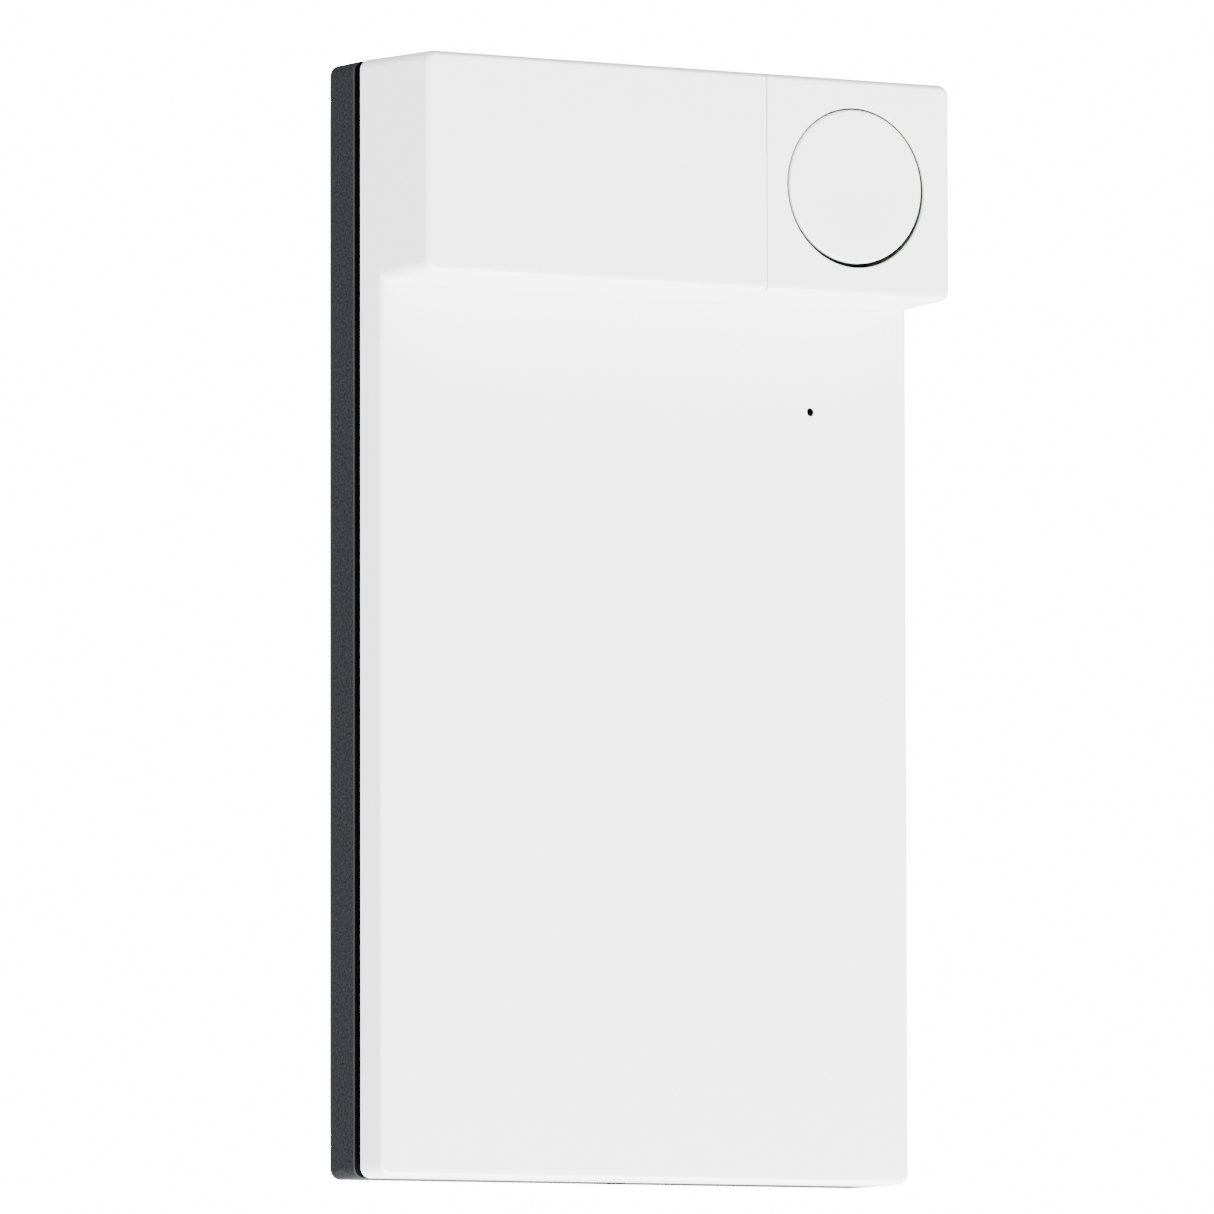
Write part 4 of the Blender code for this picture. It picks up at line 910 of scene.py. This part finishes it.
y_block_back = y_main - BLOCK_LIFT
block = drawn_block(
    "block_moulding", block_section, y_block_back, y_head, {(1, -1), (1, 1)},
    {"left": SEAM_FILLET, "right": HEAD_FILLET, "top": HEAD_FILLET, "bottom": HEAD_FILLET},
)
x0, x1, z0, z1 = block_section(y_head)
y_block_inside = y_head + BLOCK_WALL
carve(block, add_box("block_hollow", (x0 + BLOCK_WALL, y_block_inside, z0 + BLOCK_WALL),
                     (x1 - BLOCK_WALL, y_main + HOLLOW_PAST, z1 - BLOCK_WALL)))
BUTTON_SIDES = 192
carve(block, add_round("button_hole", hole_centre, HOLE_RADIUS, y_block_inside + MM, y_head - MM,
                       BUTTON_SIDES))


def is_button_rim(edge):
    on_circle = all(abs(off_axis(point, hole_centre) - HOLE_RADIUS) < 0.02 * MM for point in edge.verts)
    return on_circle and all_at(edge, y_head)


round_edges(block, is_button_rim, 0.12 * MM, RIM_STEPS)
BLOCK_BOSS_RADIUS, BLOCK_HOLE_DEPTH = 2.4 * MM, 8.5 * MM
for name in block_screws:
    place = face_centre(name)
    fuse(block, add_round("boss", place, BLOCK_BOSS_RADIUS, y_block_back, y_block_inside - BOSS_FLOOR))
    carve(block, add_round("boss_hole", place, BOSS_HOLE_RADIUS, y_main + MM, y_main - BLOCK_HOLE_DEPTH))
EAR_WIDTH, EAR_FRONT, EAR_BACK, EAR_DROP, EAR_SINK = 2.0 * MM, 1.5 * MM, 1.8 * MM, 1.7 * MM, 0.5 * MM
pin_radius = (pin_high.z - pin_low.z) / 2
for x in (pin_low.x, pin_high.x - EAR_WIDTH):
    fuse(block, add_box("ear", (x, hinge_y - EAR_FRONT, hinge_z - EAR_DROP),
                        (x + EAR_WIDTH, hinge_y + EAR_BACK, z1 - BLOCK_WALL + EAR_SINK)))


def add_pin(name, radius, x_low, x_high):
    """A cylinder along X, on the rocker's axis."""
    bpy.ops.object.select_all(action="DESELECT")
    bpy.ops.mesh.primitive_cylinder_add(
        vertices=SMALL_SIDES, radius=radius, depth=x_high - x_low,
        location=((x_low + x_high) / 2, hinge_y, hinge_z), rotation=(0, math.pi / 2, 0),
    )
    return named(bpy.context.object, name)


carve(block, add_pin("pin_hole", pin_radius + GAP, pin_low.x - MM, pin_high.x + MM))
shade(block)
fit(block, white, "cover", "white_plastic", "button_block")

# Painted shade with the light guide's greenish tint, for the liner and skirt in the button's gap.
gap_shade, gap_shade_tree, gap_shade_shader = new_finish("painted_gap_shade", roughness=0.35, gloss=0.2)
cloudy_green = noise(gap_shade_tree, place_of(gap_shade_tree), scale=400.0, detail=3.0)
shade_and_guide_tint = mixed(gap_shade_tree, cloudy_green, (0.050, 0.062, 0.042), (0.085, 0.102, 0.070))
shade_and_guide_tint.into(gap_shade_shader.inputs["Base Color"])


def add_sleeve(name, centre, radius, y_back, y_front, thickness):
    """A thin tube along Y; centre is X and Z."""
    bpy.ops.object.select_all(action="DESELECT")
    bpy.ops.mesh.primitive_cylinder_add(
        vertices=BUTTON_SIDES, radius=radius, depth=y_back - y_front, end_fill_type="NOTHING",
        location=(centre[0], (y_back + y_front) / 2, centre[1]), rotation=(math.pi / 2, 0, 0),
    )
    tube = named(bpy.context.object, name)
    change(tube, "SOLIDIFY", thickness=thickness, offset=1, use_even_offset=True)
    shade(tube)
    return tube


# A dark liner in the button hole's gap, as painted shade.
LINER_BACK, LINER_INSET, LINER_THICKNESS = 0.45 * MM, 0.08 * MM, 0.06 * MM
shade_liner = add_sleeve("gap_shade_liner", hole_centre, HOLE_RADIUS - LINER_INSET, y_block_inside, y_head + LINER_BACK,
                   LINER_THICKNESS)
fit(shade_liner, gap_shade, "cover", "black_rubber")

# ---------------------------------------------------------------- call button
# Round white rocker with a shallow finger dish and a dark skirt around its side, which is painted
# shade on the side wall in the gap. A tongue at its top turns on the hinge pin, and a stem with a
# groove for the clip goes back to the switch.

STEM_RADIUS = 2.0 * MM
CAP_THICKNESS = 2.8 * MM
RIM_RADIUS = 0.4 * MM
DISH_DEPTH = 0.28 * MM
DISH_STEPS = 12
DISH_MARGIN = 2.4 * MM
cap_back = y_head + CAP_THICKNESS

cap = add_round("cap_moulding", (button_x, button_z), BUTTON_RADIUS, cap_back, y_head, BUTTON_SIDES)
round_edges(cap, lambda edge: max(point.co.y for point in edge.verts) < y_head + 0.01 * MM, RIM_RADIUS, 6)
pick(cap, "faces", lambda face: is_front(face) and len(face.verts) == BUTTON_SIDES)
dish_radius = BUTTON_RADIUS - DISH_MARGIN
bpy.ops.mesh.inset(thickness=DISH_MARGIN - RIM_RADIUS, depth=0)
for number in range(1, DISH_STEPS):
    was, now = (number - 1) / DISH_STEPS, number / DISH_STEPS
    sink = DISH_DEPTH * (math.cos(math.pi * was) - math.cos(math.pi * now)) / 2
    bpy.ops.mesh.inset(thickness=dish_radius / DISH_STEPS, depth=0)
    bpy.ops.transform.translate(value=(0, sink, 0))
done()

GROOVE_DEPTH, GROOVE_PLAY = 0.5 * MM, 0.2 * MM
clip_low, clip_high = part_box("stem_clip")


def narrow_to(was, now, push=0.0):
    """Insets the back's picked face from one radius to another, and moves it back."""
    bpy.ops.mesh.inset(thickness=was - now, depth=0)
    bpy.ops.transform.translate(value=(0, push, 0))


def draw_out(length):
    """Draws the picked face out backwards."""
    bpy.ops.mesh.extrude_region_move()
    bpy.ops.transform.translate(value=(0, length, 0))


pick(cap, "faces", is_back)
narrow_to(BUTTON_RADIUS, STEM_RADIUS + MM)
narrow_to(STEM_RADIUS + MM, STEM_RADIUS, push=MM)
draw_out(clip_low.y - GROOVE_PLAY - cap_back - MM)
narrow_to(STEM_RADIUS, STEM_RADIUS - GROOVE_DEPTH)
draw_out(clip_high.y - clip_low.y + 2 * GROOVE_PLAY)
bpy.ops.mesh.extrude_region_move()
wider = STEM_RADIUS / (STEM_RADIUS - GROOVE_DEPTH)
bpy.ops.transform.resize(value=(wider, 1, wider), center_override=(button_x, 0, button_z))
draw_out(cap_high.y - clip_high.y - GROOVE_PLAY)
done()
round_edges(cap, lambda edge: min(point.co.y for point in edge.verts) > cap_high.y - 0.01 * MM, 0.3 * MM, 3)
TONGUE_FRONT, TONGUE_BACK = 2.5 * MM, 6.6 * MM
tongue_half = (pin_high.x - pin_low.x) / 2 - EAR_WIDTH - GAP
fuse(cap, add_box("tongue", (button_x - tongue_half, y_head + TONGUE_FRONT, button_z + BUTTON_RADIUS / 2),
                  (button_x + tongue_half, cap_low.y + TONGUE_BACK, hinge_z + EAR_DROP)))
carve(cap, add_pin("pin_hole", pin_radius + GAP, pin_low.x, pin_high.x))
shade(cap)
fit(cap, white, "button", "white_plastic", "button_cap")

# A dark skirt on the cap's side wall, as painted shade in the gap.
SKIRT_BACK, SKIRT_GAP, SKIRT_THICKNESS = 0.3 * MM, 0.01 * MM, 0.04 * MM
shade_skirt = add_sleeve("cap_shade_skirt", (button_x, button_z), BUTTON_RADIUS + SKIRT_GAP, cap_back,
                   y_head + RIM_RADIUS + SKIRT_BACK, SKIRT_THICKNESS)
fit(shade_skirt, gap_shade, "button", "black_rubber")

# ---------------------------------------------------------------- light ring
# Milky ring of light guide behind the gap around the button, open at the top for the hinge. It
# shows only as a pale greenish edge in the gap.

guide, guide_tree, guide_shader = new_finish("light_guide", roughness=0.25)
milk = noise(guide_tree, place_of(guide_tree), scale=90.0, detail=3.0)
mixed(guide_tree, milk, (0.40, 0.47, 0.40), (0.47, 0.53, 0.46)).into(guide_shader.inputs["Base Color"])
guide_shader.inputs["Subsurface Weight"].default_value = 0.35
guide_shader.inputs["Subsurface Radius"].default_value = (0.002, 0.0025, 0.002)
settle("light_ring", guide)

# ---------------------------------------------------------------- hinge pin, clip and block screws
# A plain steel pin through the ears and the button's tongue, a spring clip in the stem's groove,
# and the two screws that hold the block from inside the cover.

spring_steel = metal("spring_steel", (0.5, 0.5, 0.51), roughness=0.28, scratch=1800.0)
softened("hinge_pin", spring_steel, rounding=0.12 * MM)
softened("stem_clip", spring_steel, rounding=0.08 * MM)
for name in block_screws:
    softened(name, zinc, SCREW_ROUNDING)

# ---------------------------------------------------------------- return spring
# Round steel wire coiled around the stem, with closed ends. It stands between the cover's wall and
# the cap.

spring_low, spring_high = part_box("return_spring")
WIRE_RADIUS, COILS, COIL_STEPS = 0.33 * MM, 5, 40
SIDE_PLAY, END_PLAY = 0.04 * MM, 0.05 * MM
COIL_RADIUS = (spring_high.x - spring_low.x) / 2 - WIRE_RADIUS - SIDE_PLAY
coil_length = spring_high.y - spring_low.y - 2 * (WIRE_RADIUS + END_PLAY)
bpy.ops.object.select_all(action="DESELECT")
bpy.ops.mesh.primitive_circle_add(
    vertices=12, radius=WIRE_RADIUS, fill_type="NGON", location=(COIL_RADIUS, 0, 0),
    rotation=(math.pi / 2, 0, 0),
)
spring = named(bpy.context.object, "spring_coil")
change(spring, "SCREW", axis="Z", screw_offset=coil_length / COILS, iterations=COILS, steps=COIL_STEPS,
       render_steps=COIL_STEPS, use_merge_vertices=True, merge_threshold=NEAR, use_normal_calculate=True)
choose(spring)
spring.rotation_euler = (-math.pi / 2, 0, 0)
spring.location = (button_x, spring_low.y + WIRE_RADIUS + END_PLAY, button_z)
bpy.ops.object.transform_apply(location=True, rotation=True, scale=True)
shade(spring, angle=50)
fit(spring, spring_steel, "cover", slot_of["return_spring"], "return_spring")
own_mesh(spring)
